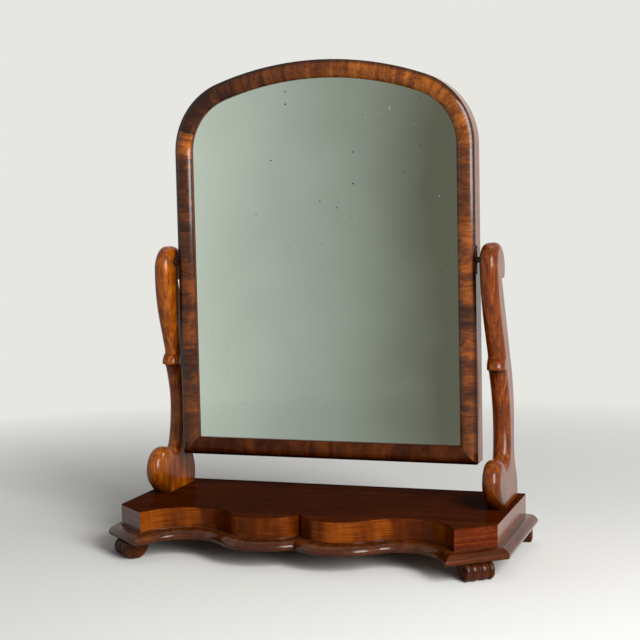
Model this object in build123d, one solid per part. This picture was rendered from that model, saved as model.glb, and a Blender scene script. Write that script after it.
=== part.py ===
from build123d import *
import os
from math import atan2, cos, degrees, hypot, radians, sin, sqrt

# Dressing table mirror on a serpentine plinth. Millimetres, +Z up.
# The origin is on the floor, midway across the width and the depth.
# Depths are given as distances in front of the plinth's back edge; plan() and
# side_view() turn them into coordinates. Heights of the frame and the supports are
# given over the top of the plinth.

# Mirror frame, the size that the rest follows
frame_width = 430.0
frame_height = 547.9
arch_rise = 119.7
spring_height = frame_height - arch_rise

# Plinth outline
plinth_margin = 47.6
plinth_width = frame_width + 2 * plinth_margin
side_depth = 193.0
lobe_radius = 60.0
lobe_offset = 52.0
lobe_front = 227.0
cove_radius = 71.0
cove_offset = 148.0
cove_end_angle = 30.0
cove_end_straight = 12.5

# Plinth heights and woodwork
frieze_height = 27.8
top_veneer = 1.2
top_board_thickness = 10.0
end_rail_thickness = 34.0
back_rail_thickness = 18.0
front_block_back = 152.0
base_board_thickness = 10.0
base_board_back = 2.0
base_board_play = 1.0
glue_block_size = 11.0
glue_block_length = 45.0
glue_block_spacing = 150.0

# Base moulding
moulding_height = 13.9
moulding_projection = 17.0
moulding_seat = 14.0
moulding_quirk = 0.7
moulding_shelf = 5.5
moulding_crest = (12.6, 10.7)
moulding_nose = 5.1
moulding_cheek = (16.5, 2.3)
moulding_toe = 15.4
notch_end_angle = 165.0

# Feet
foot_height = 25.0
foot_reach = 16.9
foot_inner_reach = 18.5
foot_neck_height = 18.0
foot_heel = 3.0
foot_swell = (-13.5, 7.0)
reed_widths = (5.4, 12.6, 12.6, 5.4)
reed_groove = 0.7
reed_relief = 0.16
volute_rim = 1.0
volute_dish_radius = 8.4
volute_dish_depth = 1.4
volute_eye_radius = 3.1
back_foot_inset = 0.4
back_foot_thickness = 9.0
back_foot_toe = 7.9
back_foot_bulge = (9.2, 3.4)
back_foot_cheek = (9.6, 8.0)
front_foot_shift_left = 2.0
front_foot_shift_right = -1.5

# Frame members
frame_clearance = 53.8
frame_front = 90.8
frame_thickness = 34.9
corner_radius = 99.6
member_width = 24.4
outer_edge_drop = 5.4
inner_edge_drop = 6.2
crown_place = 11.5
facing_thickness = 1.5
sight_drop = 9.4
rebate_lip = 6.0
back_rebate_depth = 6.1
back_rebate_land = 8.4

# Cross-banded facing joints, as heights over the plinth, distances across and angles
facing_joints_left = (114.0, 209.0, 371.0)
facing_joints_right = (121.0, 213.0, 376.0)
facing_joints_bottom = (-88.0, 123.0)
facing_joint_angle = 22.0

# Glass and back
glass_thickness = 4.0
glass_play = 0.4
board_play = 0.4
glazing_block_length = 24.0
glazing_block_size = 7.0
board_joint_height = 270.0
board_gap = 0.5

# Height of the pivots over the plinth, and their distance in front of its back edge
pivot_height = 328.2
pivot_front = 79.8

# Supports
support_thickness = 24.6
support_spread = 27.3
support_foot_centre = frame_width / 2 + support_spread
support_lean = 1.4
support_round = 11.9
support_trim = 4.0
head_radius = 32.0
head_front = 107.0
pivot_over_head = 9.2
head_height = pivot_height - pivot_over_head
belly_share = 0.652
belly_radius = belly_share * head_height
collar_share = 0.5674
collar_height = collar_share * head_height
collar_front = 82.5
collar_lip = 3.0
collar_nose_radius = 5.0
collar_nose_turn = 60.0
collar_flare_radius = 10.0
hook_drop = 16.0
hook_height = head_height - hook_drop
hook_root = 73.0
back_at_collar = 29.5
stem_front_at_collar = 79.0
stem_waist_front = 57.5
stem_waist_height = 115.0
stem_waist_back = 22.2
stem_lower_radius = 170.0
stem_lower_drop = 43.0
crease_radius = 22.0
crease_turn = 60.4
crease_run = 17.0
tongue_radius = 14.5
scroll_radius = 31.0
scroll_front = 139.0
scroll_height = 35.5
scroll_tuck = 50.0
heel_waist_back = 27.5
heel_waist_height = 50.0
heel_back = 17.5
heel_height = 26.0

# Pivot fittings
pin_radius = 3.0
pin_clearance = 0.05
pin_engagement = 9.0
pin_rounding = 0.8
boss_radius = 4.0
boss_length = 4.6
plate_width = 8.0
plate_height = 38.0
plate_thickness = 1.8
plate_screw_spacing = 26.0
bush_radius = 4.5
bush_flange_radius = 7.0
bush_flange_thickness = 1.5
bush_bottom = 1.5
washer_thickness = 1.4
pivot_gap = 0.4

# Screws: shank radius, head radius, head depth and length
hole_clearance = 0.05
screw_tip_shape = 2.2
screw_slot_width = 0.4
screw_slot_depth = 0.6
support_screw = (2.4, 4.6, 3.2, 62.0)
foot_screw = (2.0, 3.9, 2.8, 27.0)
board_screw = (1.6, 3.2, 2.2, 20.0)
back_screw = (1.4, 2.7, 1.8, 14.0)
plate_screw = (1.1, 2.2, 1.4, 13.0)
support_screw_fronts = (45.0, 88.0)
foot_screw_spacing = 18.0
foot_screw_inset = 7.5
foot_screw_recess = 9.0
dowel_radius = 3.0
dowel_length = 24.0
dowel_spacing = 13.0
dowel_inset = 9.0
dowel_front = 71.5

# Places of small pieces, as shares of the straight height and of half the frame's width
back_screw_places = (0.10, 0.33, 0.81)
back_screw_to_joint = 30.0
back_screw_across = (-0.7, 0.0, 0.7)
glazing_block_places = (0.13, 0.39, 0.645, 0.9)
glazing_block_across = (-0.56, 0.0, 0.56)
base_screw_side_fronts = (20.0, 120.0)
base_screw_back_places = (-120.0, 0.0, 120.0)
base_screw_front_places = (-160.0, -60.0, 60.0, 160.0)

half_width = plinth_width / 2
plinth_top = foot_height + moulding_height + frieze_height
frieze_bottom = foot_height + moulding_height


def unit(angle):
    """Unit direction at an angle in degrees, as a pair."""
    return cos(radians(angle)), sin(radians(angle))


def along(point, direction, distance):
    return point[0] + direction[0] * distance, point[1] + direction[1] * distance


def meet(p, d, q, e):
    """Where the line through p along d crosses the line through q along e."""
    cross = d[0] * e[1] - d[1] * e[0]
    run = ((q[0] - p[0]) * e[1] - (q[1] - p[1]) * e[0]) / cross
    return along(p, d, run)


def direction_of(p, q):
    length = hypot(q[0] - p[0], q[1] - p[1])
    return (q[0] - p[0]) / length, (q[1] - p[1]) / length


# Plan of the right half of the plinth, as (across, in front of the back edge)
lobe_centre = (lobe_offset, lobe_front - lobe_radius)
centre_gap = sqrt((lobe_radius + cove_radius) ** 2 - (cove_offset - lobe_offset) ** 2)
cove_centre = (cove_offset, lobe_centre[1] + centre_gap)
notch = (0.0, lobe_centre[1] + sqrt(lobe_radius ** 2 - lobe_offset ** 2))
lobe_to_cove = direction_of(lobe_centre, cove_centre)
cove_radial = unit(-cove_end_angle)
cove_end = along(cove_centre, cove_radial, cove_radius)
cove_heading = (sin(radians(cove_end_angle)), cos(radians(cove_end_angle)))
front_corner = along(cove_end, cove_heading, cove_end_straight)
side_corner = (half_width, side_depth)
cant_heading = direction_of(front_corner, side_corner)
front_out = (-cove_radial[0], -cove_radial[1])
cant_out = (-cant_heading[1], cant_heading[0])
side_out = (1.0, 0.0)


def mitre_line(first_out, second_out):
    """Direction of the mitre between two faces, from their outward normals."""
    return direction_of((0.0, 0.0), (first_out[0] + second_out[0], first_out[1] + second_out[1]))


front_mitre = mitre_line(front_out, cant_out)
side_mitre = mitre_line(cant_out, side_out)
nose_start = along(cove_end, front_out, moulding_projection)
moulding_corner = meet(nose_start, cove_heading, front_corner, front_mitre)
overall_depth = max(moulding_corner[1], lobe_front + moulding_projection)
back_y = overall_depth / 2


def plan(point):
    """Coordinates of a point given across and in front of the back edge."""
    return point[0], back_y - point[1]


def solid_plan(points, bottom, height):
    """A block with a straight-sided plan, points as (across, front)."""
    face = make_face(Polyline(*[plan(p) for p in points], close=True))
    return Pos(0, 0, bottom) * extrude(face, height)


def mirrored(shape):
    return mirror(shape, about=Plane.YZ)


def half_space(point, heading, size=2 * plinth_width):
    """A tall block that fills the plan on the left of a line along heading."""
    side = (-heading[1], heading[0])
    start = along(point, heading, -size)
    end = along(point, heading, size)
    corners = [start, end, along(end, side, size), along(start, side, size)]
    flat = [(x, back_y - y) for x, y in corners]
    return Pos(0, 0, -size) * extrude(make_face(Polyline(*flat, close=True)), 3 * size)


def front_edges(offset=0.0):
    """The serpentine front from the notch to the front corner, moved outwards by offset."""
    lobe = lobe_radius + offset
    cove = cove_radius - offset
    start = (0.0, lobe_centre[1] + sqrt(lobe ** 2 - lobe_offset ** 2))
    middle = along(lobe_centre, unit(90), lobe)
    tangent = along(lobe_centre, lobe_to_cove, lobe)
    low = along(cove_centre, unit(-90), cove)
    last = along(cove_centre, cove_radial, cove)
    corner = meet(last, cove_heading, front_corner, front_mitre)
    edges = [ThreePointArc(plan(start), plan(middle), plan(tangent)),
             ThreePointArc(plan(tangent), plan(low), plan(last)),
             Line(plan(last), plan(corner))]
    return edges, start, corner


def plinth_face(offset=0.0, back=0.0):
    """The whole plinth plan, moved outwards by offset at the front and sides."""
    edges, start, corner = front_edges(offset)
    side_x = half_width + offset
    bend = meet(corner, cant_heading, side_corner, side_mitre)
    rest = Polyline(plan(corner), plan(bend), plan((side_x, back)), plan((0.0, back)), plan(start))
    half = make_face(edges + rest.edges())
    return half + mirrored(half)


def screw(sizes, head_at, upward=True):
    """A countersunk wood screw whose head lies at head_at and whose shank runs along Z."""
    shank_radius, head_radius, head_depth, length = sizes
    tip = shank_radius * screw_tip_shape
    outline = [(0, 0), (head_radius, 0), (shank_radius, head_depth), (shank_radius, length - tip),
               (0, length)]
    body = revolve(make_face(Plane.XZ * Polyline(*outline, close=True)), Axis.Z)
    slot = Box(head_radius * 3, shank_radius * screw_slot_width,
               head_depth * screw_slot_depth)
    body = body - slot
    if not upward:
        body = Rot(180, 0, 0) * body
    return Pos(*head_at) * body


def screw_hole(sizes, head_at, upward=True, recess=0.0):
    """The hole that such a screw fills, with a recess in front of its head."""
    shank_radius, head_radius, head_depth, length = sizes
    wide = head_radius + hole_clearance
    thin = shank_radius + hole_clearance
    outline = [(0, -recess), (wide, -recess), (wide, 0), (thin, head_depth), (thin, length),
               (0, length)]
    if recess == 0.0:
        outline.remove((wide, -recess))
    body = revolve(make_face(Plane.XZ * Polyline(*outline, close=True)), Axis.Z)
    if not upward:
        body = Rot(180, 0, 0) * body
    return Pos(*head_at) * body


def save(name, shape):
    """Write one node, made of every solid in the shape."""
    solids = shape.solids()
    whole = solids[0] if len(solids) == 1 else Compound(children=list(solids))
    export_step(whole, f"parts/{name}.step")
    print(name, len(solids))


# Corners of the carcass joints, from the mitres of the outline
end_rail_x = half_width - end_rail_thickness
front_joint = meet(front_corner, front_mitre, (end_rail_x, 0.0), (0.0, 1.0))
side_joint = meet(side_corner, side_mitre, (end_rail_x, 0.0), (0.0, 1.0))
rail_bottom = frieze_bottom
rail_height = frieze_height - top_veneer
top_board_bottom = plinth_top - top_veneer - top_board_thickness


def carcass_pieces():
    """Blocks and rails of the right half, cut from the full outline at the joints."""
    ring = Pos(0, 0, rail_bottom) * extrude(plinth_face(), rail_height)
    far = plinth_width
    front_far = along(front_joint, front_mitre, far)
    side_far = along(side_joint, side_mitre, far)
    front_plan = [(0.0, front_block_back), (0.0, far), front_far, front_joint,
                  (end_rail_x, front_block_back)]
    cant_plan = [front_joint, front_far, (2 * far, 2 * far), side_far, side_joint]
    side_plan = [side_joint, side_far, (2 * far, 0.0), (end_rail_x, 0.0)]
    return [ring & solid_plan(points, rail_bottom, rail_height)
            for points in (front_plan, cant_plan, side_plan)]


def back_rail():
    corners = [(-end_rail_x, 0.0), (end_rail_x, 0.0), (end_rail_x, back_rail_thickness),
               (-end_rail_x, back_rail_thickness)]
    return solid_plan(corners, rail_bottom, rail_height)


def top_board():
    corners = [(-end_rail_x, back_rail_thickness), (end_rail_x, back_rail_thickness),
               (end_rail_x, front_block_back), (-end_rail_x, front_block_back)]
    return solid_plan(corners, top_board_bottom, top_board_thickness)


def glue_blocks():
    """Square pine blocks in the corners under the top board."""
    blocks = []
    size = glue_block_size
    middle_height = top_board_bottom - size / 2
    for across in (-glue_block_spacing, 0.0, glue_block_spacing):
        for front in (back_rail_thickness + size / 2, front_block_back - size / 2):
            x, y = plan((across, front))
            blocks.append(Pos(x, y, middle_height) * Box(glue_block_length, size, size))
    return Compound(children=blocks)


def base_board():
    """Thin bottom board, let in between the mouldings behind the serpentine front."""
    side = half_width - moulding_seat - base_board_play
    front = cove_centre[1] - cove_radius - moulding_seat - base_board_play
    corners = [(-side, base_board_back), (side, base_board_back), (side, front), (-side, front)]
    return solid_plan(corners, frieze_bottom - base_board_thickness, base_board_thickness)


# Base moulding: section as (outwards from the wall, up from its underside)
def moulding_section():
    nose = (moulding_projection, moulding_nose)
    shelf_height = moulding_height - moulding_quirk
    lines = Polyline((moulding_shelf, shelf_height), (moulding_quirk, shelf_height),
                     (moulding_quirk, moulding_height), (-moulding_seat, moulding_height),
                     (-moulding_seat, 0.0), (moulding_toe, 0.0))
    cheek = ThreePointArc((moulding_toe, 0.0), moulding_cheek, nose)
    round_top = ThreePointArc(nose, moulding_crest, (moulding_shelf, shelf_height))
    return make_face(lines.edges() + cheek.edges() + round_top.edges())


def moulding_run(start, heading, outward, length):
    """A straight moulding that starts in plan at start and runs along heading."""
    x, y = plan(start)
    plane = Plane(origin=(x, y, foot_height), x_dir=(outward[0], -outward[1], 0),
                  z_dir=(heading[0], -heading[1], 0))
    section = moulding_section()
    if plane.y_dir.Z < 0:
        plane = Plane(origin=(x, y, foot_height), x_dir=(outward[0], -outward[1], 0),
                      z_dir=(-heading[0], heading[1], 0))
        return extrude(plane * section, -length)
    return extrude(plane * section, length)


def moulding_turn(centre, radius, outward_sign, start_angle, end_angle):
    """A moulding round an arc of the outline, by its angles in plan as (across, front)."""
    cx, cy = plan(centre)
    plane = Plane(origin=(cx, cy, foot_height), x_dir=(1, 0, 0), z_dir=(0, -1, 0))
    section = moulding_section()
    if outward_sign < 0:
        section = mirror(section, about=Plane.YZ)
    section = plane * (Pos(radius, 0, 0) * section)
    axis = Axis((cx, cy, 0), (0, 0, 1))
    placed = section.rotate(axis, -start_angle)
    return revolve(placed, Axis((cx, cy, 0), (0, 0, -1)), end_angle - start_angle)


def moulding_front():
    """Right half of the serpentine front moulding, mitred at the notch and the corner."""
    lobe_end_angle = degrees(atan2(lobe_to_cove[1], lobe_to_cove[0]))
    lobe = moulding_turn(lobe_centre, lobe_radius, 1, lobe_end_angle, notch_end_angle)
    cove = moulding_turn(cove_centre, cove_radius, -1, lobe_end_angle - 180.0, -cove_end_angle)
    straight = moulding_run(cove_end, cove_heading, front_out, cove_end_straight * 4)
    run = lobe + cove + straight
    run = run - half_space((0.0, 0.0), (0.0, 1.0))
    return run - half_space(front_corner, (-front_mitre[0], -front_mitre[1]))


def moulding_cant():
    spare = 4 * moulding_projection
    start = along(front_corner, cant_heading, -spare)
    length = hypot(side_corner[0] - front_corner[0], side_corner[1] - front_corner[1]) + 2 * spare
    run = moulding_run(start, cant_heading, cant_out, length)
    run = run - half_space(front_corner, front_mitre)
    return run - half_space(side_corner, (-side_mitre[0], -side_mitre[1]))


def moulding_side():
    length = side_depth + 4 * moulding_projection
    run = moulding_run((half_width, 0.0), (0.0, 1.0), side_out, length)
    return run - half_space(side_corner, side_mitre)


# Feet: a reeded roll with flat scroll sides and a bracket behind it. Built facing +X,
# with the wall of the plinth over x = 0 and the floor at z = 0.
foot_width = sum(reed_widths) + reed_groove * (len(reed_widths) - 1)
roll_radius = foot_height / 2
roll_centre = foot_reach - roll_radius


def reeded_roll():
    """A roll turned about its own length, with a round bead for each reed."""
    edge = roll_radius
    side = -foot_width / 2
    edges = [Line((side, 0), (side, edge - reed_widths[0] * reed_relief))]
    for number, width in enumerate(reed_widths):
        low = edge - width * reed_relief
        edges.append(ThreePointArc((side, low), (side + width / 2, edge), (side + width, low)))
        side += width
        if number < len(reed_widths) - 1:
            next_low = edge - reed_widths[number + 1] * reed_relief
            edges.append(Line((side, low), (side + reed_groove, next_low)))
            side += reed_groove
    edges.append(Line((side, edge - reed_widths[-1] * reed_relief), (side, 0)))
    edges.append(Line((side, 0), (-foot_width / 2, 0)))
    return revolve(make_face(edges), Axis.X)


def volute_cut():
    """The dished ring cut round the eye on one side of the roll."""
    dish = Cylinder(volute_dish_radius, volute_dish_depth * 2)
    return dish - Cylinder(volute_eye_radius, volute_dish_depth * 2)


def bracket_swell():
    return ThreePointArc((-foot_inner_reach, foot_neck_height), foot_swell, (-foot_heel, 0.0))


def foot_bored(shape):
    """The foot with the deep holes for its two screws."""
    for side in (-1, 1):
        hole = screw_hole(foot_screw, (-foot_screw_inset, side * foot_screw_spacing / 2,
                                       foot_screw_recess), recess=foot_height)
        shape = shape - hole
    return shape


def front_foot():
    roll = Pos(roll_centre, 0, roll_radius) * (Rot(0, 0, 90) * reeded_roll())
    for side in (-1, 1):
        cut = Rot(90, 0, 0) * volute_cut()
        roll = roll - Pos(roll_centre, side * foot_width / 2, roll_radius) * cut
    outline = Polyline((-foot_heel, 0.0), (roll_centre, 0.0), (roll_centre, foot_height),
                       (-foot_inner_reach, foot_height), (-foot_inner_reach, foot_neck_height))
    face = Plane.XZ * make_face(outline.edges() + bracket_swell().edges())
    return foot_bored(roll + extrude(face, foot_width / 2 - volute_rim, both=True))


def back_foot():
    """A plain bracket sawn from thin board, across the back, rounded in at its toe."""
    outline = Polyline(back_foot_cheek, (back_foot_cheek[0], foot_height),
                       (-foot_inner_reach, foot_height), (-foot_inner_reach, foot_neck_height))
    floor = Line((-foot_heel, 0.0), (back_foot_toe, 0.0))
    toe = ThreePointArc((back_foot_toe, 0.0), back_foot_bulge, back_foot_cheek)
    edges = outline.edges() + bracket_swell().edges() + floor.edges() + toe.edges()
    return extrude(Plane.XZ * make_face(edges), back_foot_thickness / 2, both=True)


def foot_places():
    """Name, turn about Z and place of each foot, with the walls of the plinth beside it."""
    middle = ((front_corner[0] + side_corner[0]) / 2, (front_corner[1] + side_corner[1]) / 2)
    cant_turn = -degrees(atan2(cant_out[1], cant_out[0]))
    back_front = back_foot_inset + back_foot_thickness / 2
    places = []
    for name, shift in (("right", front_foot_shift_right), ("left", front_foot_shift_left)):
        x, y = plan(along(middle, cant_heading, shift))
        side = 1 if name == "right" else -1
        turn = cant_turn if side > 0 else 180.0 - cant_turn
        places.append((f"foot_front_{name}", turn, side * x, y))
        x, y = plan((half_width, back_front))
        places.append((f"foot_back_{name}", 0.0 if side > 0 else 180.0, side * x, y))
    return places


def foot_screw_heads():
    """Where the heads of the screws lie: two in each front foot. The back feet are glued."""
    heads = []
    for name, turn, x, y in foot_places():
        if "back" in name:
            continue
        for side in (-1, 1):
            local = Vector(-foot_screw_inset, side * foot_screw_spacing / 2, 0)
            spot = Vector(x, y, foot_screw_recess) + local.rotate(Axis.Z, turn)
            heads.append((spot.X, spot.Y, spot.Z))
    return heads


# Supports, drawn in side view as (in front of the back edge, over the plinth)
def side_view(front, height):
    return back_y - front, plinth_top + height


class Pen:
    """Draws a chain of lines and arcs that flow into each other in side view."""

    def __init__(self, point, heading):
        self.point = Vector(*point)
        self.heading = heading
        self.edges = []

    def line(self, length):
        c, s = unit(self.heading)
        end = self.point + Vector(c, s) * length
        self.edges.append(Line(self.point, end))
        self.point = end
        return self

    def arc(self, radius, turn):
        """Turn left by a positive angle, or right by a negative one."""
        side = 1 if turn > 0 else -1
        c, s = unit(self.heading + 90 * side)
        centre = self.point + Vector(c, s) * radius
        c, s = unit(self.heading - 90 * side + turn / 2)
        middle = centre + Vector(c, s) * radius
        c, s = unit(self.heading - 90 * side + turn)
        end = centre + Vector(c, s) * radius
        self.edges.append(ThreePointArc(self.point, middle, end))
        self.point = end
        self.heading += turn
        return self

    def line_to_height(self, z):
        c, s = unit(self.heading)
        return self.line((z - self.point.Y) / s)


def rounded_plate(chain, others):
    """A plate of the support's thickness whose edges along the chain are rounded."""
    face = Plane.YZ * make_face(chain + others)
    plate = extrude(face, support_thickness / 2, both=True)
    spots = [edge @ 0.5 for edge in chain]
    rims = []
    for rim in plate.edges():
        middle = rim @ 0.5
        if abs(abs(middle.X) - support_thickness / 2) > 0.01:
            continue
        if any(abs(middle.Y - s.X) + abs(middle.Z - s.Y) < 0.05 for s in spots):
            rims.append(rim)
    return fillet(rims, support_round)


def collar():
    """The rounded lip that runs round the front of the support above the stem."""
    pen = Pen(side_view(collar_front, collar_height), 90.0)
    pen.line(collar_lip).arc(collar_nose_radius, -collar_nose_turn)
    pen.arc(collar_flare_radius, collar_nose_turn)
    half = support_thickness / 2
    middle = back_y - collar_front + half
    rest = Polyline(pen.point, (middle, pen.point.Y), (middle, plinth_top + collar_height),
                    side_view(collar_front, collar_height))
    face = Plane.YZ * make_face(pen.edges + list(rest.edges()))
    ring = revolve(face, Axis((0, middle, 0), (0, 0, 1)))
    lip_middle = plinth_top + collar_height + collar_lip / 2
    block = Pos(0, middle + half / 2, lip_middle) * Box(support_thickness, half, collar_lip)
    return ring + block, pen.point


def upper_scroll():
    """The upper part, from the collar over the belly to the head."""
    turned, neck = collar()
    pen = Pen((neck.X, plinth_top + collar_height), 90.0)
    pen.line_to_height(neck.Y)
    flare_centre = neck + Vector(collar_flare_radius * -1, 0)
    head_point = Vector(*side_view(head_front, head_height))
    belly_centre = head_point + Vector(belly_radius, 0)
    gap = flare_centre - belly_centre
    lean = degrees(atan2(gap.Y, gap.X)) % 360
    reach = (collar_flare_radius + belly_radius) / gap.length
    slope = lean - degrees(atan2(sqrt(1 - reach ** 2), reach)) - 90
    pen.arc(collar_flare_radius, slope - pen.heading)
    c, s = unit(slope + 90)
    belly_start = belly_centre + Vector(c, s) * belly_radius
    pen.line((belly_start - pen.point).length)
    pen.arc(belly_radius, 90 - slope)
    under = (head_height - hook_height) / head_radius
    pen.arc(head_radius, -180 - degrees(atan2(under, sqrt(1 - under ** 2))))
    rest = Polyline(pen.point, side_view(hook_root, hook_height),
                    side_view(back_at_collar, collar_height),
                    (neck.X, plinth_top + collar_height))
    return rounded_plate(pen.edges, list(rest.edges())) + turned


def stem_and_heel():
    """The lower stem, its tongue beside the scroll, and the heel behind it."""
    reach = stem_front_at_collar - stem_waist_front
    drop = collar_height - stem_waist_height
    radius = (reach ** 2 + drop ** 2) / (2 * reach)
    turn = degrees(atan2(drop, radius - reach))
    lower_turn = degrees(atan2(stem_lower_drop, sqrt(stem_lower_radius ** 2 - stem_lower_drop ** 2)))
    pen = Pen(side_view(stem_front_at_collar, collar_height), 270 + turn)
    pen.arc(radius, -turn).arc(stem_lower_radius, -lower_turn)
    pen.arc(crease_radius, -crease_turn).line(crease_run)
    pen.arc(tongue_radius, 270 - pen.heading)
    foot_level = plinth_top - support_trim
    pen.line_to_height(foot_level)
    back_slope = degrees(atan2(collar_height - hook_height, hook_root - back_at_collar))
    heading = Vector(*unit(back_slope))
    back = Spline(side_view(back_at_collar, collar_height),
                  side_view(stem_waist_back, stem_waist_height),
                  side_view(heel_waist_back, heel_waist_height),
                  side_view(heel_back, heel_height),
                  (back_y - heel_back, foot_level), tangents=[heading, Vector(0, -1)])
    top = Line(side_view(stem_front_at_collar, collar_height),
               side_view(back_at_collar, collar_height))
    bottom = Line(pen.point, (back_y - heel_back, foot_level))
    return rounded_plate(pen.edges, [back, top, bottom])


def foot_scroll():
    """The round scroll in front of the heel, tucked in at the plinth."""
    centre = Vector(*side_view(scroll_front - scroll_radius, scroll_height))
    c, s = unit(180 + scroll_tuck)
    start = centre + Vector(c, s) * scroll_radius
    foot_level = plinth_top - support_trim
    heading = 90 + scroll_tuck
    up = unit(heading)
    below = start - Vector(*up) * ((start.Y - foot_level) / up[1])
    pen = Pen((below.X, below.Y), heading)
    pen.line((start - below).length).arc(scroll_radius, -180 - scroll_tuck)
    pen.line_to_height(foot_level)
    bottom = Line(pen.point, (below.X, below.Y))
    return rounded_plate(pen.edges, [bottom])


def support():
    """The right support, leaning in, trimmed at the plinth and drilled."""
    plate = upper_scroll() + stem_and_heel() + foot_scroll()
    pivot_axis = Axis((support_foot_centre, 0, plinth_top), (0, 1, 0))
    leaning = (Pos(support_foot_centre, 0, 0) * plate).rotate(pivot_axis, -support_lean)
    block = Box(4 * support_thickness, 4 * scroll_front, 2 * plinth_top)
    leaning = leaning - Pos(support_foot_centre, 0, 0) * block
    for head in support_screw_heads():
        leaning = leaning - screw_hole(support_screw, head)
    y, z = pivot_at
    seat = bush_face + bush_flange_thickness
    recess = cylinder_x(bush_flange_radius + hole_clearance, frame_half, seat, y, z)
    bore = cylinder_x(bush_radius + hole_clearance, frame_half, bush_end, y, z)
    return leaning - recess - bore


def support_screw_heads():
    return [(support_foot_centre, back_y - front, rail_bottom) for front in support_screw_fronts]


def cylinder_x(radius, start, end, y, z):
    """A round bar along X from start to end."""
    return Pos((start + end) / 2, y, z) * (Rot(0, 90, 0) * Cylinder(radius, end - start))


# Pivots: a plate and pin on the frame, a leather washer, and a bush in the support
frame_half = frame_width / 2
pivot_at = (back_y - pivot_front, plinth_top + pivot_height)
boss_end = frame_half + boss_length
washer_end = boss_end + washer_thickness
bush_face = washer_end + pivot_gap
bore_end = bush_face + bush_flange_thickness + pin_engagement
bush_end = bore_end + bush_bottom
pin_end = bore_end - pivot_gap


def pivot_bush():
    y, z = pivot_at
    flange = cylinder_x(bush_flange_radius, bush_face, bush_face + bush_flange_thickness, y, z)
    barrel = cylinder_x(bush_radius, bush_face, bush_end, y, z)
    bore = cylinder_x(pin_radius + pin_clearance, frame_half, bore_end, y, z)
    return flange + barrel - bore


def pivot_plate():
    y, z = pivot_at
    plate = Pos(frame_half - plate_thickness / 2, y, z) * Box(plate_thickness, plate_width,
                                                              plate_height)
    boss = cylinder_x(boss_radius, frame_half - plate_thickness, boss_end, y, z)
    pin = cylinder_x(pin_radius, frame_half - plate_thickness, pin_end, y, z)
    tip = pin.edges().filter_by(GeomType.CIRCLE).sort_by(Axis.X)[-1:]
    whole = plate + boss + fillet(tip, pin_rounding)
    for head in plate_screw_heads():
        whole = whole - plate_screw_turn(screw_hole(plate_screw, (0, 0, 0)), head)
    return whole


def plate_screw_heads():
    y, z = pivot_at
    return [(frame_half, y, z + side * plate_screw_spacing / 2) for side in (-1, 1)]


def plate_screw_turn(shape, head):
    """Lay a screw along -X with its head in the face of the plate."""
    return Pos(*head) * (Rot(0, -90, 0) * shape)


def pivot_washer():
    y, z = pivot_at
    ring = cylinder_x(boss_radius, boss_end, washer_end, y, z)
    return ring - cylinder_x(pin_radius + pin_clearance, frame_half, bush_end, y, z)


# Mirror frame: section as (inwards from the outer edge, in front of the plinth's back edge)
frame_back = frame_front - frame_thickness
frame_bottom = frame_clearance
frame_spring = frame_clearance + spring_height
frame_top = frame_clearance + frame_height
sight_front = frame_front - sight_drop
glass_back = sight_front - glass_thickness
board_front = frame_back + back_rebate_depth
glass_inset = member_width - rebate_lip
board_inset = glass_inset - back_rebate_land

# The arch is a wide arc that runs into two small corner arcs
corner_x = frame_half - corner_radius
rise = frame_top - frame_spring
crown_radius = (corner_x ** 2 + rise ** 2 - corner_radius ** 2) / (2 * (rise - corner_radius))
crown_z = frame_top - crown_radius
corner_angle = degrees(atan2(frame_spring - crown_z, corner_x))
crown_angle = 180.0 - 2 * corner_angle
turn_axis = Axis((0, 0, 0), (0, -1, 0))


def cushion(depth=0.0):
    """The rounded front of a frame member, moved back by depth, from its outer edge inwards."""
    return [(0.0, frame_front - outer_edge_drop - depth), (crown_place, frame_front - depth),
            (member_width, frame_front - inner_edge_drop - depth)]


def member_section(points, curves):
    """A face whose straight corners are points and whose curved stretches are curves."""
    edges = [ThreePointArc(*[(-u, -d) for u, d in curve]) for curve in curves]
    flat = [(-u, -d) for u, d in points]
    if len(curves) == 1:
        edges += list(Polyline(*flat).edges())
    else:
        edges += [Line(flat[0], flat[1]), Line(flat[2], flat[3])]
    return make_face(edges)


def core_section():
    """The moulded member with its two rebates, for glass and for back boards."""
    curve = cushion(facing_thickness)
    points = [curve[2], (member_width, sight_front), (glass_inset, sight_front),
              (glass_inset, board_front), (board_inset, board_front), (board_inset, frame_back),
              (0.0, frame_back), curve[0]]
    return member_section(points, [curve])


def facing_section():
    """The cross-banded facing glued on the front of a member."""
    front = cushion()
    rear = cushion(facing_thickness)
    return member_section([front[0], rear[0], front[2], rear[2]], [front, rear])


def stile_run(section, low, high):
    """A straight upright run on the right, between two heights over the plinth."""
    return Pos(frame_half, back_y, plinth_top + low) * extrude(section, high - low)


def corner_run(section, start_angle, end_angle):
    """A run round the right corner arc, by angles above the level of its centre."""
    placed = (Pos(corner_radius, 0, 0) * section).rotate(turn_axis, start_angle)
    arc = revolve(placed, turn_axis, end_angle - start_angle)
    return Pos(corner_x, back_y, plinth_top + frame_spring) * arc


def crown_run(section):
    """The run round the wide arc between the two corner arcs."""
    placed = (Pos(crown_radius, 0, 0) * section).rotate(turn_axis, corner_angle)
    arc = revolve(placed, turn_axis, crown_angle)
    return Pos(0, back_y, plinth_top + crown_z) * arc


def rail_run(section, left, right):
    """A straight run along the bottom, between two distances across."""
    upright = Pos(0, back_y, 0) * extrude(section, right - left)
    turned = upright.rotate(Axis.Y, 90)
    return Pos(left, 0, plinth_top + frame_bottom) * turned


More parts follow.
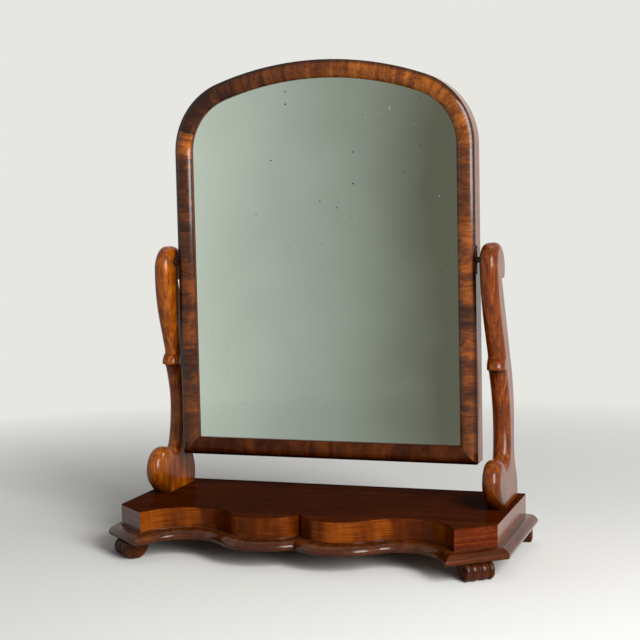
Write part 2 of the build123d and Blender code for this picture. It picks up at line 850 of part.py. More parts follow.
def outside_mitre(side):
    """Everything beyond the 45 degree mitre at a bottom corner."""
    low = plinth_top + frame_bottom
    reach = frame_height
    points = [(frame_half + reach, low - reach), (frame_half - reach, low + reach),
              (frame_half + reach, low + reach)]
    flat = [(side * x, z) for x, z in points]
    return extrude(Plane.XZ * make_face(Polyline(*flat, close=True)), reach, both=True)


def frame_member_stile():
    """Right stile, mitred at its foot, without its holes."""
    return stile_run(core_section(), frame_bottom, frame_spring) & outside_mitre(1)


def stile():
    """Right stile with the housing of the pivot plate, and its screw and dowel holes."""
    y, z = pivot_at
    housing = Box(plate_thickness, plate_width, plate_height)
    member = frame_member_stile() - Pos(frame_half - plate_thickness / 2, y, z) * housing
    for head in plate_screw_heads():
        member = member - plate_screw_turn(screw_hole(plate_screw, (0, 0, 0)), head)
    return member


def bottom_rail():
    member = rail_run(core_section(), -frame_half, frame_half)
    return member - outside_mitre(1) - outside_mitre(-1)


def back_screw_heads():
    """Heads of the back board screws, in the land of the rebate round the frame."""
    inset = (board_inset + glass_inset) / 2
    upright = frame_half - inset
    heights = [frame_bottom + share * spring_height for share in back_screw_places]
    heights += [board_joint_height - back_screw_to_joint, board_joint_height + back_screw_to_joint]
    spots = [(side * upright, height) for side in (-1, 1) for height in heights]
    spots += [(share * frame_half, frame_bottom + inset) for share in back_screw_across]
    for turn in (corner_angle / 2, 180.0 - corner_angle / 2):
        c, s = unit(turn)
        side = 1 if c > 0 else -1
        ring = corner_radius - inset
        spots.append((side * corner_x + ring * c, frame_spring + ring * s))
    spots.append((0.0, frame_top - inset))
    return [(x, back_y - frame_back, plinth_top + height) for x, height in spots]


def back_screw_turn(shape, head):
    """Lay a screw along -Y with its head in the back of the board."""
    return Pos(*head) * (Rot(90, 0, 0) * shape)


def dowel_joints():
    """Centre and direction of each butt joint of the arch, on both sides."""
    joints = []
    for side in (-1, 1):
        across = side * (frame_half - dowel_inset)
        joints.append((across, frame_spring, 0.0))
        c, s = unit(corner_angle)
        ring = crown_radius - dowel_inset
        joints.append((side * ring * c, crown_z + ring * s, -side * corner_angle))
    return joints


def dowels(radius, length):
    """Two dowels across every butt joint of the arch."""
    pegs = []
    for x, height, turn in dowel_joints():
        for step in (-0.5, 0.5):
            front = dowel_front + step * dowel_spacing
            peg = Rot(0, turn, 0) * Cylinder(radius, length)
            pegs.append(Pos(x, back_y - front, plinth_top + height) * peg)
    return pegs


def drilled(member):
    """A frame member with the dowel holes and the back board screw holes in it."""
    for hole in dowels(dowel_radius + hole_clearance, dowel_length + 2 * hole_clearance):
        member = member - hole
    for head in back_screw_heads():
        member = member - back_screw_turn(screw_hole(back_screw, (0, 0, 0)), head)
    return member


def facings():
    """Name and shape of each cross-banded facing, in order round the frame."""
    section = facing_section()
    pieces = []
    for name, joints in (("left", facing_joints_left), ("right", facing_joints_right)):
        heights = (frame_bottom,) + joints + (frame_spring,)
        for number in range(len(heights) - 1):
            piece = stile_run(section, heights[number], heights[number + 1])
            if number == 0:
                piece = piece & outside_mitre(1)
            if name == "left":
                piece = mirrored(piece)
            pieces.append((f"facing_{name}_{number + 1}", piece))
    across = (-frame_half,) + facing_joints_bottom + (frame_half,)
    for number in range(len(across) - 1):
        piece = rail_run(section, across[number], across[number + 1])
        piece = piece - outside_mitre(1) - outside_mitre(-1)
        pieces.append((f"facing_bottom_{number + 1}", piece))
    low = corner_run(section, 0.0, facing_joint_angle)
    high = corner_run(section, facing_joint_angle, corner_angle)
    arch = (mirrored(low), mirrored(high), crown_run(section), high, low)
    for number, piece in enumerate(arch):
        pieces.append((f"facing_arch_{number + 1}", piece))
    return pieces


def arched_panel(inset, front, back):
    """A panel with the outline of the frame moved inwards, between two depths."""
    side = frame_half - inset
    low = frame_bottom + inset
    ring = corner_radius - inset
    wide = crown_radius - inset
    c, s = unit(corner_angle)
    c_half, s_half = unit(corner_angle / 2)
    spring = (side, frame_spring)
    corner_middle = (corner_x + ring * c_half, frame_spring + ring * s_half)
    shoulder = (wide * c, crown_z + wide * s)
    edges = [Line((-side, low), (side, low)), Line((side, low), spring),
             ThreePointArc(spring, corner_middle, shoulder),
             ThreePointArc(shoulder, (0, crown_z + wide), (-shoulder[0], shoulder[1])),
             ThreePointArc((-shoulder[0], shoulder[1]), (-corner_middle[0], corner_middle[1]),
                           (-side, frame_spring)),
             Line((-side, frame_spring), (-side, low))]
    panel = extrude(Plane.XZ * make_face(edges), front - back)
    return Pos(0, back_y - back, plinth_top) * panel


def glass():
    return arched_panel(glass_inset + glass_play, sight_front, glass_back)


def back_boards():
    """Lower and upper back board, screwed into the rebate from behind."""
    panel = arched_panel(board_inset + board_play, board_front, frame_back)
    for head in back_screw_heads():
        panel = panel - back_screw_turn(screw_hole(back_screw, (0, 0, 0)), head)
    split = plinth_top + board_joint_height
    block = Box(2 * frame_width, 2 * frame_width, 2 * frame_height)
    upper = Pos(0, 0, split + board_gap / 2 + frame_height) * block
    lower = Pos(0, 0, split - board_gap / 2 - frame_height) * block
    return panel & lower, panel & upper


def glazing_blocks():
    """Small softwood blocks that hold the plate against the sight edge."""
    size = glazing_block_size
    y = back_y - glass_back + size / 2
    wall = frame_half - glass_inset - size / 2
    blocks = []
    for side in (-1, 1):
        for share in glazing_block_places:
            z = plinth_top + frame_bottom + share * spring_height
            blocks.append(Pos(side * wall, y, z) * Box(size, size, glazing_block_length))
    low = plinth_top + frame_bottom + glass_inset + size / 2
    for share in glazing_block_across:
        block = Box(glazing_block_length, size, size)
        blocks.append(Pos(share * frame_half, y, low) * block)
    return blocks


def base_screw_heads():
    """Heads of the screws that hold the base board up to the carcass."""
    side = (end_rail_x + half_width - moulding_seat) / 2
    spots = [(sign * side, front) for sign in (-1, 1) for front in base_screw_side_fronts]
    spots += [(across, back_rail_thickness / 2) for across in base_screw_back_places]
    spots += [(across, front_block_back + back_rail_thickness / 2)
              for across in base_screw_front_places]
    return [(*plan(spot), frieze_bottom - base_board_thickness) for spot in spots]


def bored(shape, sizes, heads):
    """A shape with the holes of upright screws in it."""
    for head in heads:
        shape = shape - screw_hole(sizes, head)
    return shape


def both_sides(shapes):
    """Shapes of the right half together with their mirror images."""
    return shapes + [mirrored(shape) for shape in shapes]


def placed_foot(shape, turn, x, y):
    return Pos(x, y, 0) * (Rot(0, 0, turn) * shape)


os.makedirs("parts", exist_ok=True)

# Plinth
support_heads = support_screw_heads()
support_heads += [(-x, y, z) for x, y, z in support_heads]
base_heads = base_screw_heads()
foot_heads = foot_screw_heads()

veneer = Pos(0, 0, plinth_top - top_veneer) * extrude(plinth_face(), top_veneer)
save("plinth_top", bored(veneer, support_screw, support_heads))
save("plinth_top_board", top_board())
names = ("front_block", "cant_block", "end_rail")
for name, piece in zip(names, carcass_pieces()):
    for side, shape in (("right", piece), ("left", mirrored(piece))):
        shape = bored(shape, support_screw, support_heads)
        shape = bored(shape, board_screw, base_heads)
        save(f"{name}_{side}", bored(shape, foot_screw, foot_heads))
save("back_rail", bored(back_rail(), board_screw, base_heads))
save("glue_blocks", glue_blocks())
save("base_board", bored(base_board(), board_screw, base_heads))
names = ("moulding_front", "moulding_cant", "moulding_side")
for name, piece in zip(names, (moulding_front(), moulding_cant(), moulding_side())):
    for side, shape in (("right", piece), ("left", mirrored(piece))):
        save(f"{name}_{side}", bored(shape, foot_screw, foot_heads))
whole_feet = {"front": front_foot(), "back": back_foot()}
for name, turn, x, y in foot_places():
    shape = whole_feet["front" if "front" in name else "back"]
    save(name, placed_foot(shape, turn, x, y))
save("foot_screws", Compound(children=[screw(foot_screw, head) for head in foot_heads]))
save("base_board_screws", Compound(children=[screw(board_screw, head) for head in base_heads]))

# Supports and pivots
right_support = support()
save("support_right", right_support)
save("support_left", mirrored(right_support))
save("support_screws", Compound(children=[screw(support_screw, head) for head in support_heads]))
for name, piece in (("pivot_socket", pivot_bush()), ("pivot_plate", pivot_plate())):
    save(f"{name}_right", piece)
    save(f"{name}_left", mirrored(piece))
save("friction_washers", Compound(children=both_sides([pivot_washer()])))
plate_screws = [plate_screw_turn(screw(plate_screw, (0, 0, 0)), h) for h in plate_screw_heads()]
save("pivot_plate_screws", Compound(children=both_sides(plate_screws)))

# Mirror
right_stile = drilled(stile())
save("stile_right", right_stile)
save("stile_left", mirrored(right_stile))
save("bottom_rail", drilled(bottom_rail()))
right_arch = drilled(corner_run(core_section(), 0.0, corner_angle))
save("arch_right", right_arch)
save("arch_left", mirrored(right_arch))
save("arch_crown", drilled(crown_run(core_section())))
save("frame_dowels", Compound(children=dowels(dowel_radius, dowel_length)))
for name, piece in facings():
    save(name, piece)
save("mirror_glass", glass())
lower_board, upper_board = back_boards()
save("back_board_lower", lower_board)
save("back_board_upper", upper_board)
back_screws = [back_screw_turn(screw(back_screw, (0, 0, 0)), h) for h in back_screw_heads()]
save("back_board_screws", Compound(children=back_screws))
save("glazing_blocks", Compound(children=glazing_blocks()))
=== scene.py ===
# %% [markdown]
# A dressing table mirror in polished mahogany: an arched frame with a cushion moulding,
# hung between two scroll supports on a low serpentine plinth with reeded feet. The CAD
# model gives every piece its place. This lesson dresses it: pieces with curved or soft
# edges are modelled again on the same sizes, and flat hidden ones keep their CAD mesh.

# %% The frame from the CAD model
import bpy
from math import atan2, cos, degrees, hypot, pi, radians, sin, sqrt
from mathutils import Matrix, Vector


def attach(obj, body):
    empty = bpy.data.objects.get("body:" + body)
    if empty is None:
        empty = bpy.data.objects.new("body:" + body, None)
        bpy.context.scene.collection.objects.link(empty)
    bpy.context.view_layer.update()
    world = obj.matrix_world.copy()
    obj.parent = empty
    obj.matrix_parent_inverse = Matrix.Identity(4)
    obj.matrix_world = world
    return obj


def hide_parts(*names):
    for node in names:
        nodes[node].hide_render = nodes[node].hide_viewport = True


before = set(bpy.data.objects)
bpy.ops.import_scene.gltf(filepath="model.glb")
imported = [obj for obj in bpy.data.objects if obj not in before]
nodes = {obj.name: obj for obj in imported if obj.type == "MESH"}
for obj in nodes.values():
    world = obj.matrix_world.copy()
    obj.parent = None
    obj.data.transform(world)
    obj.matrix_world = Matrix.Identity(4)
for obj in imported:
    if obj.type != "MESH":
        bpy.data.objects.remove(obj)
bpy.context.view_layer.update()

# %% [markdown]
# Everything on the real mirror is measured from two places: the back edge of the plinth
# and its top. The same two are used here, so each size can be read off the object.
# Lengths are written in millimetres and turned into metres in one place.

# %% Sizes of the whole
mm = 0.001
back_y = 128.656
plinth_top = 66.7
foot_height = 25.0
moulding_height = 13.9
frieze_bottom = foot_height + moulding_height
veneer_thickness = 1.2


def metres(x, y, z):
    """A point given in millimetres, as Blender wants it."""
    return Vector((x, y, z)) * mm


def at(across, front, height):
    """A point by its distance across, in front of the back edge, and over the plinth."""
    return metres(across, back_y - front, plinth_top + height)


def measured(co):
    """The way back: across, in front of the back edge, and over the plinth."""
    return co.x * 1000.0, back_y - co.y * 1000.0, co.z * 1000.0 - plinth_top


def unit(angle):
    """The direction at an angle in degrees."""
    return cos(radians(angle)), sin(radians(angle))


print("frieze from", frieze_bottom, "to", plinth_top - veneer_thickness)

# %% [markdown]
# A piece of moulding starts as its cross-section, drawn as one flat face. Extruding that
# face makes a straight run and spinning it makes a bend, just as a scratch stock is drawn
# along a rail and then round a corner. A circle primitive is the blank that the section
# is drawn on. Bisect is the saw: it scores a line, or drops what lies behind the cut.

# %% Bench tools
blank_radius = 0.01
merge_distance = 0.00001


def deselect_all():
    if bpy.context.object and bpy.context.object.mode == "EDIT":
        bpy.ops.object.mode_set(mode="OBJECT")
    bpy.ops.object.select_all(action="DESELECT")


def take_up(piece):
    """Select one piece alone and make it the active one."""
    deselect_all()
    piece.select_set(True)
    bpy.context.view_layer.objects.active = piece


def blank_ring(count, fill):
    """A round blank, whose rim is then moved to the corners of a section."""
    deselect_all()
    bpy.ops.mesh.primitive_circle_add(vertices=count, radius=blank_radius, fill_type=fill,
                                      location=(0, 0, 0))
    return bpy.context.active_object


def shape_rim(piece, corners):
    """Move the rim to its corners and go into edit mode with everything selected."""
    for vertex, corner in zip(piece.data.vertices, corners):
        vertex.co = corner
    bpy.ops.object.mode_set(mode="EDIT")
    bpy.ops.mesh.select_all(action="SELECT")
    return piece


def section_face(name, corners):
    """The flat face of a cross-section, ready to be extruded or spun."""
    piece = blank_ring(len(corners), "NGON")
    piece.name = name
    return shape_rim(piece, corners)


def push(offset):
    """Extrude the selected end face by an offset in metres."""
    bpy.ops.mesh.extrude_region_move(TRANSFORM_OT_translate={"value": offset})


def bend(centre, axis, angle, steps):
    """Spin the selected end face round an axis. Blender's spin turns the left-handed way."""
    bpy.ops.mesh.spin(steps=steps, angle=-radians(angle), center=centre, axis=axis)


def score(point, normal, drop=False):
    """Cut edges all across the piece, and drop what lies on the normal's side if asked."""
    bpy.ops.mesh.select_all(action="SELECT")
    bpy.ops.mesh.bisect(plane_co=point, plane_no=normal, use_fill=drop, clear_outer=drop,
                        threshold=merge_distance)


def close_up(piece, reach=merge_distance):
    """Merge doubles, drop loose edges, turn every face outwards and leave edit mode."""
    bpy.ops.mesh.select_all(action="SELECT")
    bpy.ops.mesh.remove_doubles(threshold=reach)
    bpy.ops.mesh.delete_loose()
    bpy.ops.mesh.select_all(action="SELECT")
    bpy.ops.mesh.normals_make_consistent(inside=False)
    bpy.ops.object.mode_set(mode="OBJECT")
    return piece


print("bench ready, doubles merge within", merge_distance / mm, "mm")

# %% [markdown]
# No edge of a used piece is quite sharp, and a rounded edge catches the light. A small
# bevel does that, and weighted normals keep the flats flat beside it. Pieces are cut or
# joined with a boolean, and a repeated piece is copied with its own mesh.

# %% Softening, joining and copying
smooth_angle = 40.0
flat_weight = 80


def smooth(piece, angle):
    """Shade the curves smooth, with normals that follow the larger faces."""
    bpy.ops.object.shade_smooth_by_angle(angle=radians(angle))
    evened = piece.modifiers.new("Even shading", "WEIGHTED_NORMAL")
    evened.keep_sharp = True
    evened.weight = flat_weight
    bpy.ops.object.modifier_apply(modifier=evened.name)
    return piece


def soften(piece, width, segments=2, angle=30.0):
    """Round the sharp edges by a width in millimetres and shade the rest smooth."""
    take_up(piece)
    bevel = piece.modifiers.new("Soft edges", "BEVEL")
    bevel.width = width * mm
    bevel.segments = segments
    bevel.limit_method = "ANGLE"
    bevel.angle_limit = radians(angle)
    bevel.use_clamp_overlap = True
    bpy.ops.object.modifier_apply(modifier=bevel.name)
    return smooth(piece, smooth_angle)


def combine(piece, tool, operation):
    """Cut a piece with a tool, or join the two, and throw the tool away."""
    take_up(piece)
    cut = piece.modifiers.new("Joint", "BOOLEAN")
    cut.object = tool
    cut.operation = operation
    bpy.ops.object.modifier_apply(modifier=cut.name)
    bpy.data.objects.remove(tool)


def copied(piece, name):
    """A copy of a piece with its own mesh."""
    twin = piece.copy()
    twin.data = piece.data.copy()
    twin.name = name
    bpy.context.collection.objects.link(twin)
    return twin


print("shading is smooth up to", smooth_angle, "degrees")

# %% [markdown]
# Wood grain follows the piece, also round a bend. So each piece gets a UV map that holds
# real distances: along the run, and across it. Then the piece gets its finish, rides on
# its body, and takes the place of its CAD node.

# %% Grain, finish and place
def lay_grain(piece, measure):
    """The piece's one UV map, in metres: first the way along the run, then across it."""
    while piece.data.uv_layers:
        piece.data.uv_layers.remove(piece.data.uv_layers[0])
    layer = piece.data.uv_layers.new(name="Grain")
    for loop in piece.data.loops:
        layer.data[loop.index].uv = measure(piece.data.vertices[loop.vertex_index].co)


def dress(piece, material):
    """Give a piece one finish all over."""
    piece.data.materials.clear()
    piece.data.materials.append(material)
    return piece


def fit_up(piece, body, slot, *replaced):
    """Hang a finished piece on its body, in place of its CAD nodes."""
    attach(piece, body)
    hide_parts(*replaced)
    return piece


# %% [markdown]
# Most curves on the mirror were struck with a compass. Three points that can be measured
# on the piece give the whole arc, so no centre has to be guessed.

# %% Arcs through three points
def curve_points(a, b, c, count):
    """Points on the arc from a through b to c, in a plane."""
    (ax, ay), (bx, by), (cx, cy) = a, b, c
    d = 2 * (ax * (by - cy) + bx * (cy - ay) + cx * (ay - by))
    aa, bb, cc = ax * ax + ay * ay, bx * bx + by * by, cx * cx + cy * cy
    ux = (aa * (by - cy) + bb * (cy - ay) + cc * (ay - by)) / d
    uy = (aa * (cx - bx) + bb * (ax - cx) + cc * (bx - ax)) / d
    radius = hypot(ax - ux, ay - uy)
    start, middle, end = (atan2(y - uy, x - ux) for x, y in (a, b, c))
    while middle < start:
        middle += 2 * pi
    while end < start:
        end += 2 * pi
    if middle > end:
        end -= 2 * pi
    turns = [start + (end - start) * i / (count - 1) for i in range(count)]
    return [(ux + radius * cos(turn), uy + radius * sin(turn)) for turn in turns]


print("a quarter round in 3 points", curve_points((1, 0), unit(45.0), (0, 1), 3))

# %% [markdown]
# The frame's front is a low cushion with its crown near the outer edge. On the real one
# short leaves of flame mahogany are laid across the members, with a joint every few
# inches. Here each leaf is its own piece: the thin cushion section is extruded along the
# straights and spun round the arch. The plain wood under it is swept in the same way.

# %% Frame section
frame_half = 215.0
frame_front = 90.8
frame_back = 55.9
frame_bottom = 53.8
frame_spring = 482.0
frame_top = 601.7
corner_radius = 99.6
member_width = 24.4
facing_thickness = 1.5
outer_front = 85.4
inner_front = 84.6
cushion_crown = 11.5
cushion_points = 15
sight_front = 81.4
glass_inset = 18.4
board_inset = 10.0
board_front = 62.0
corner_x = frame_half - corner_radius
rise = frame_top - frame_spring
crown_radius = (corner_x ** 2 + rise ** 2 - corner_radius ** 2) / (2 * (rise - corner_radius))
crown_z = frame_top - crown_radius
corner_angle = degrees(atan2(frame_spring - crown_z, corner_x))
crown_angle = 180.0 - 2 * corner_angle
print("crown radius", round(crown_radius, 1), "corner angle", round(corner_angle, 2))


def cushion(depth):
    """Points across the front of a member, moved back by depth."""
    return curve_points((0.0, outer_front - depth), (cushion_crown, frame_front - depth),
                        (member_width, inner_front - depth), cushion_points)


def facing_outline():
    return cushion(0.0) + cushion(facing_thickness)[::-1]


def core_outline():
    """The plain wood's section, with one rebate for the glass and one for the boards."""
    return cushion(facing_thickness) + [
        (member_width, sight_front), (glass_inset, sight_front), (glass_inset, board_front),
        (board_inset, board_front), (board_inset, frame_back), (0.0, frame_back)]


# %% [markdown]
# Each run starts with the section standing at its own place on the frame. A century of
# dusting has worn the two lower outside corners round. A bevel on the mitred corner would
# break the leaves' joints, so the runs are scored near it with bisect, and the vertices
# outside a quarter circle are drawn in to it.

# %% Runs of a frame member
corner_ease = 2.4
corner_cuts = (0.4, 0.9, 1.5, corner_ease)
arc_step = 2.0
least_steps = 6


def eased_corner(piece):
    """Draw the two lower outside corners in to a quarter circle."""
    for vertex in piece.data.vertices:
        x, _, height = measured(vertex.co)
        out = abs(x) - (frame_half - corner_ease)
        down = frame_bottom + corner_ease - height
        if out > 0.0 and down > 0.0:
            share = max(out, down) / hypot(out, down)
            side = 1 if x > 0 else -1
            vertex.co.x = side * (frame_half - corner_ease + out * share) * mm
            vertex.co.z = (plinth_top + frame_bottom + corner_ease - down * share) * mm
    return piece


def upright_run(name, outline, low, high, side):
    piece = section_face(name, [at(side * (frame_half - u), d, low) for u, d in outline])
    push((0, 0, (high - low) * mm))
    if low <= frame_bottom:
        score(at(side * frame_half, 0, frame_bottom), (-side, 0, -1), drop=True)
        for cut in corner_cuts:
            score(at(0, 0, frame_bottom + cut), (0, 0, 1))
    return eased_corner(close_up(piece))


def level_run(name, outline, left, right):
    piece = section_face(name, [at(left, d, frame_bottom + u) for u, d in outline])
    push(((right - left) * mm, 0, 0))
    for side, end in ((-1, left), (1, right)):
        if abs(end) >= frame_half:
            score(at(side * frame_half, 0, frame_bottom), (side, 0, 1), drop=True)
            for cut in corner_cuts:
                score(at(side * (frame_half - cut), 0, 0), (1, 0, 0))
    return eased_corner(close_up(piece))


def bent_run(name, outline, centre, radius, start, turn, side=1, tail=0.0):
    """A run round an arc of the arch, by angles over its centre, with a straight tail."""
    c, s = unit(start)
    cx, cz = centre
    piece = section_face(name, [at(side * (cx + (radius - u) * c), d,
                                   cz + (radius - u) * s - tail) for u, d in outline])
    if tail:
        push((0, 0, tail * mm))
    bend(at(side * cx, 0, cz), (0, -side, 0), turn, max(least_steps, round(turn / arc_step)))
    return close_up(piece)


print("corners worn round by", corner_ease, "mm")

# %% [markdown]
# The grain of a leaf runs across the member, so the finish has to know how far along the
# frame a point lies. That distance is counted from the crown down both sides; the bottom
# rail has its own count, far from the others, so that no two leaves share a figure.

# %% Grain of the frame
crown_along = radians(crown_angle / 2) * crown_radius
spring_along = crown_along + radians(corner_angle) * corner_radius
rail_along = 1200.0


def run_measure(offset=0.0):
    """Distance along the frame and in from its outer edge, for the grain."""
    def measure(co):
        x, depth, height = measured(co)
        if height > frame_spring:
            angle = degrees(atan2(height - crown_z, abs(x)))
            if angle >= corner_angle:
                inwards = crown_radius - hypot(x, height - crown_z)
                along = radians(90.0 - angle) * crown_radius
            else:
                inwards = corner_radius - hypot(abs(x) - corner_x, height - frame_spring)
                turn = radians(corner_angle) - atan2(height - frame_spring, abs(x) - corner_x)
                along = crown_along + turn * corner_radius
        elif frame_half - abs(x) < height - frame_bottom:
            inwards = frame_half - abs(x)
            along = spring_along + frame_spring - height
        else:
            inwards = height - frame_bottom
            along = rail_along + x
        if x < 0 and height > frame_bottom + member_width:
            along = -along
        return along * mm + offset, (inwards + (frame_front - depth)) * mm
    return measure


print("from the crown to the spring", round(spring_along, 1))

# %% [markdown]
# A finish is a tree of nodes. Adding a node, setting its values and linking its inputs is
# the same work each time, so one helper does it, and short ones on top of it are named
# for what they do: stretch a pattern, make a noise, calculate, spread a range, blend.

# %% Tools for finishes
def connect(tree, node, sockets):
    """Set plain values on a node's sockets, and link the rest."""
    for key, value in sockets.items():
        socket = node.inputs[key]
        if isinstance(value, bpy.types.NodeSocket):
            tree.links.new(value, socket)
        else:
            socket.default_value = value + (1.0,) if socket.type == "RGBA" else value


def add_node(tree, kind, sockets, **settings):
    node = tree.nodes.new("ShaderNode" + kind)
    for key, value in settings.items():
        setattr(node, key, value)
    connect(tree, node, sockets)
    return node


def mapped(tree, vector, scale=(1, 1, 1), turn=(0, 0, 0), shift=(0, 0, 0)):
    return add_node(tree, "Mapping", {"Vector": vector, "Scale": scale, "Rotation": turn,
                                      "Location": shift}).outputs["Vector"]


def noise(tree, vector, scale=1.0, detail=3.0, distortion=0.0):
    return add_node(tree, "TexNoise", {"Vector": vector, "Scale": scale, "Detail": detail,
                                       "Roughness": 0.6, "Distortion": distortion}).outputs["Fac"]


def calculate(tree, operation, *values):
    sockets = dict(enumerate(values))
    return add_node(tree, "Math", sockets, operation=operation).outputs["Value"]


def spread(tree, value, low, high, to_low=0.0, to_high=1.0):
    """Stretch the range from low to high over another one, and stop at its ends."""
    return add_node(tree, "MapRange", {"Value": value, "From Min": low, "From Max": high,
                                       "To Min": to_low, "To Max": to_high}).outputs["Result"]


def blended(tree, factor, a, b):
    return add_node(tree, "Mix", {0: factor, 6: a, 7: b}, data_type="RGBA").outputs[2]


def axes_of(tree, vector):
    return add_node(tree, "SeparateXYZ", {"Vector": vector}).outputs


def object_place(tree):
    return add_node(tree, "TexCoord", {}).outputs["Object"]


def grit(tree, height, strength, distance):
    """A fine relief, for the shader's normal."""
    return add_node(tree, "Bump", {"Height": height, "Strength": strength,
                                   "Distance": distance}).outputs["Normal"]


def ramp(tree, value, *stops):
    node = add_node(tree, "ValToRGB", {"Fac": value})
    elements = node.color_ramp.elements
    while len(elements) < len(stops):
        elements.new(0.5)
    for element, (place, colour) in zip(elements, stops):
        element.position = place
        element.color = colour + (1.0,)
    return node.outputs["Color"]


def new_finish(name):
    """A new material, its node tree and its main shader."""
    material = bpy.data.materials.new(name)
    material.use_nodes = True
    return material, material.node_tree, material.node_tree.nodes["Principled BSDF"]


def shaded(colour, share):
    """A colour with only a share of its light left."""
    return tuple(c * share for c in colour)


print("half of a mid brown is", shaded((0.2, 0.1, 0.04), 0.5))

# %% [markdown]
# The polish is what sells old mahogany. Three noises are stretched along the grain and
# added up: broad ribbons of growth, clouds of figure, and a fine mottle. A colour ramp
# turns the sum into wood, and long dark pores go over it. A drift can darken or lighten
# the colour from left to right across the object. Bands of painted shade, set by height
# and by their place on the piece, and dark lines along the edges are laid over that. The
# shine is all in the clear coat, because French polish is a coat: it leaves the dark wood
# under it dark.

# %% Wood finish
painted_shade_cut = (0.0002, 0.0006)
painted_shade_reach = 0.010
grain_turns = {"UV": (0, 0, 0), "X": (0, 0, 0), "Y": (0, 0, radians(90)),
               "Z": (0, radians(90), 0)}


def wood(name, dark, middle, light, grain="UV", ribbon=(3.0, 70.0), weights=(0.5, 0.25, 0.25),
         contrast=0.16, mottle=(150.0, 500.0), pores=(20.0, 1200.0), pore_depth=0.45, cloud=25.0,
         coat=0.2, coat_roughness=0.12, wave=0.6, edge=(), drift=None, rim=None, painted_shades=()):
    """Polished wood. grain is UV, or the object axis that the grain follows."""
    material, tree, shader = new_finish(name)
    coordinates = add_node(tree, "TexCoord", {}).outputs
    source = coordinates["UV" if grain == "UV" else "Object"]
    along = mapped(tree, source, turn=grain_turns[grain])

    def stretched(scales, detail, distortion):
        vector = mapped(tree, along, (scales[0], scales[1], scales[1]))
        return noise(tree, vector, 1.0, detail, distortion)

    parts = (stretched(ribbon, 3.0, wave), noise(tree, along, cloud, 2.0, 1.5),
             stretched(mottle, 2.0, 0.0))
    total = 0.0
    if drift:
        total = spread(tree, axes_of(tree, coordinates["Object"])["X"], *drift)
    for part, weight in zip(parts, weights):
        total = calculate(tree, "MULTIPLY_ADD", part, weight, total)
    value = spread(tree, total, 0.5 - contrast, 0.5 + contrast)
    gold = tuple(min(1.0, c * 1.35) for c in light)
    tone = ramp(tree, value, (0.0, dark), (0.45, middle), (0.8, light), (1.0, gold))
    fine = stretched(pores, 3.0, 0.0)
    pore = calculate(tree, "MULTIPLY", spread(tree, fine, 0.54, 0.70), pore_depth)
    tone = blended(tree, pore, tone, shaded(dark, 0.4))
    # Painted shade: darker bands by height, in front of a given place on the piece.
    for low, high, front, *shares in painted_shades:
        place = axes_of(tree, coordinates["Object"])
        below = spread(tree, place["Z"], high + painted_shade_cut[0], high + painted_shade_cut[1], 1.0, 0.0)
        before = spread(tree, place["Y"], front, front + painted_shade_reach, 1.0, 0.0)
        share = calculate(tree, "MULTIPLY", below, spread(tree, place["Z"], low, high, *shares))
        share = calculate(tree, "MULTIPLY", share, before)
        tone = blended(tree, share, tone, shaded(dark, 0.25))
    for low, high in edge:
        line = spread(tree, axes_of(tree, source)["Y"], low, high, 0.85, 0.0)
        tone = blended(tree, line, tone, shaded(dark, 0.3))
    connect(tree, shader, {
        "Base Color": tone, "Roughness": spread(tree, parts[1], 0.0, 1.0, 0.35, 0.55),
        "Specular IOR Level": 0.0, "Coat Weight": coat, "Coat Roughness": coat_roughness,
        "Normal": grit(tree, fine, 0.15, 0.0003)})
    if rim:
        grazing = add_node(tree, "LayerWeight", {}).outputs["Facing"]
        connect(tree, shader, {"Coat Weight": spread(tree, grazing, 0.62, 0.80, coat, rim)})
    return material


print("grain can follow", sorted(grain_turns))

# %% [markdown]
# The leaves were cut from different parts of the tree: some are bright flame, some brown,
# some mottled. The leaves on the left get a darker copy of the flame as painted shade, and
# the mottled arch leaves darken towards the left as painted shade too. They share one cross
# grain, and a dark line runs along their two edges. The same function makes all of them,
# so only the three colours and the strength of the figure differ.

# %% Finishes of the frame
leaf_edges = ((0.0054, 0.0072), (0.0306, 0.0288))
cross_grain = dict(ribbon=(60.0, 12.0), mottle=(520.0, 110.0), pores=(1300.0, 60.0),
                   pore_depth=0.25, weights=(0.5, 0.3, 0.2), cloud=16.0, edge=leaf_edges)
flame = wood("Flame mahogany facing", (0.028, 0.0055, 0.0008), (0.118, 0.027, 0.0035),
             (0.27, 0.068, 0.004), contrast=0.12, coat=0.62, wave=1.0, **cross_grain)
# Its drift is painted shade, darker towards the left of the arch.
mottled = wood("Mottled mahogany facing", (0.022, 0.005, 0.0010), (0.125, 0.029, 0.003),
               (0.27, 0.078, 0.008), contrast=0.17, weights=(0.45, 0.25, 0.3), coat=0.45,
               ribbon=(90.0, 14.0), mottle=(420.0, 260.0), pore_depth=0.25, edge=leaf_edges,
               drift=(-0.19, 0.05, -0.20, 0.03))
# Painted shade: this darker copy of the flame is for the leaves on the left.
flame_painted_shade = wood("Dark flame mahogany facing", (0.012, 0.0028, 0.0006),
                  (0.045, 0.0105, 0.0015), (0.120, 0.027, 0.0020), contrast=0.115, coat=0.55,
                  wave=1.0, **cross_grain)
flame_brown = wood("Brown flame mahogany facing", (0.020, 0.0040, 0.0008),
                   (0.085, 0.019, 0.0025), (0.19, 0.046, 0.003), contrast=0.12, coat=0.55,
                   wave=1.0, **cross_grain)
flame_low = wood("Lower rail mahogany facing", (0.014, 0.0022, 0.0003), (0.038, 0.007, 0.0007),
                 (0.080, 0.017, 0.0018), contrast=0.16, coat=0.2, **cross_grain)
frame_side = wood("Frame edge mahogany", (0.070, 0.012, 0.003), (0.14, 0.028, 0.006),
                  (0.22, 0.055, 0.012), coat=0.3, coat_roughness=0.15, rim=1.0)


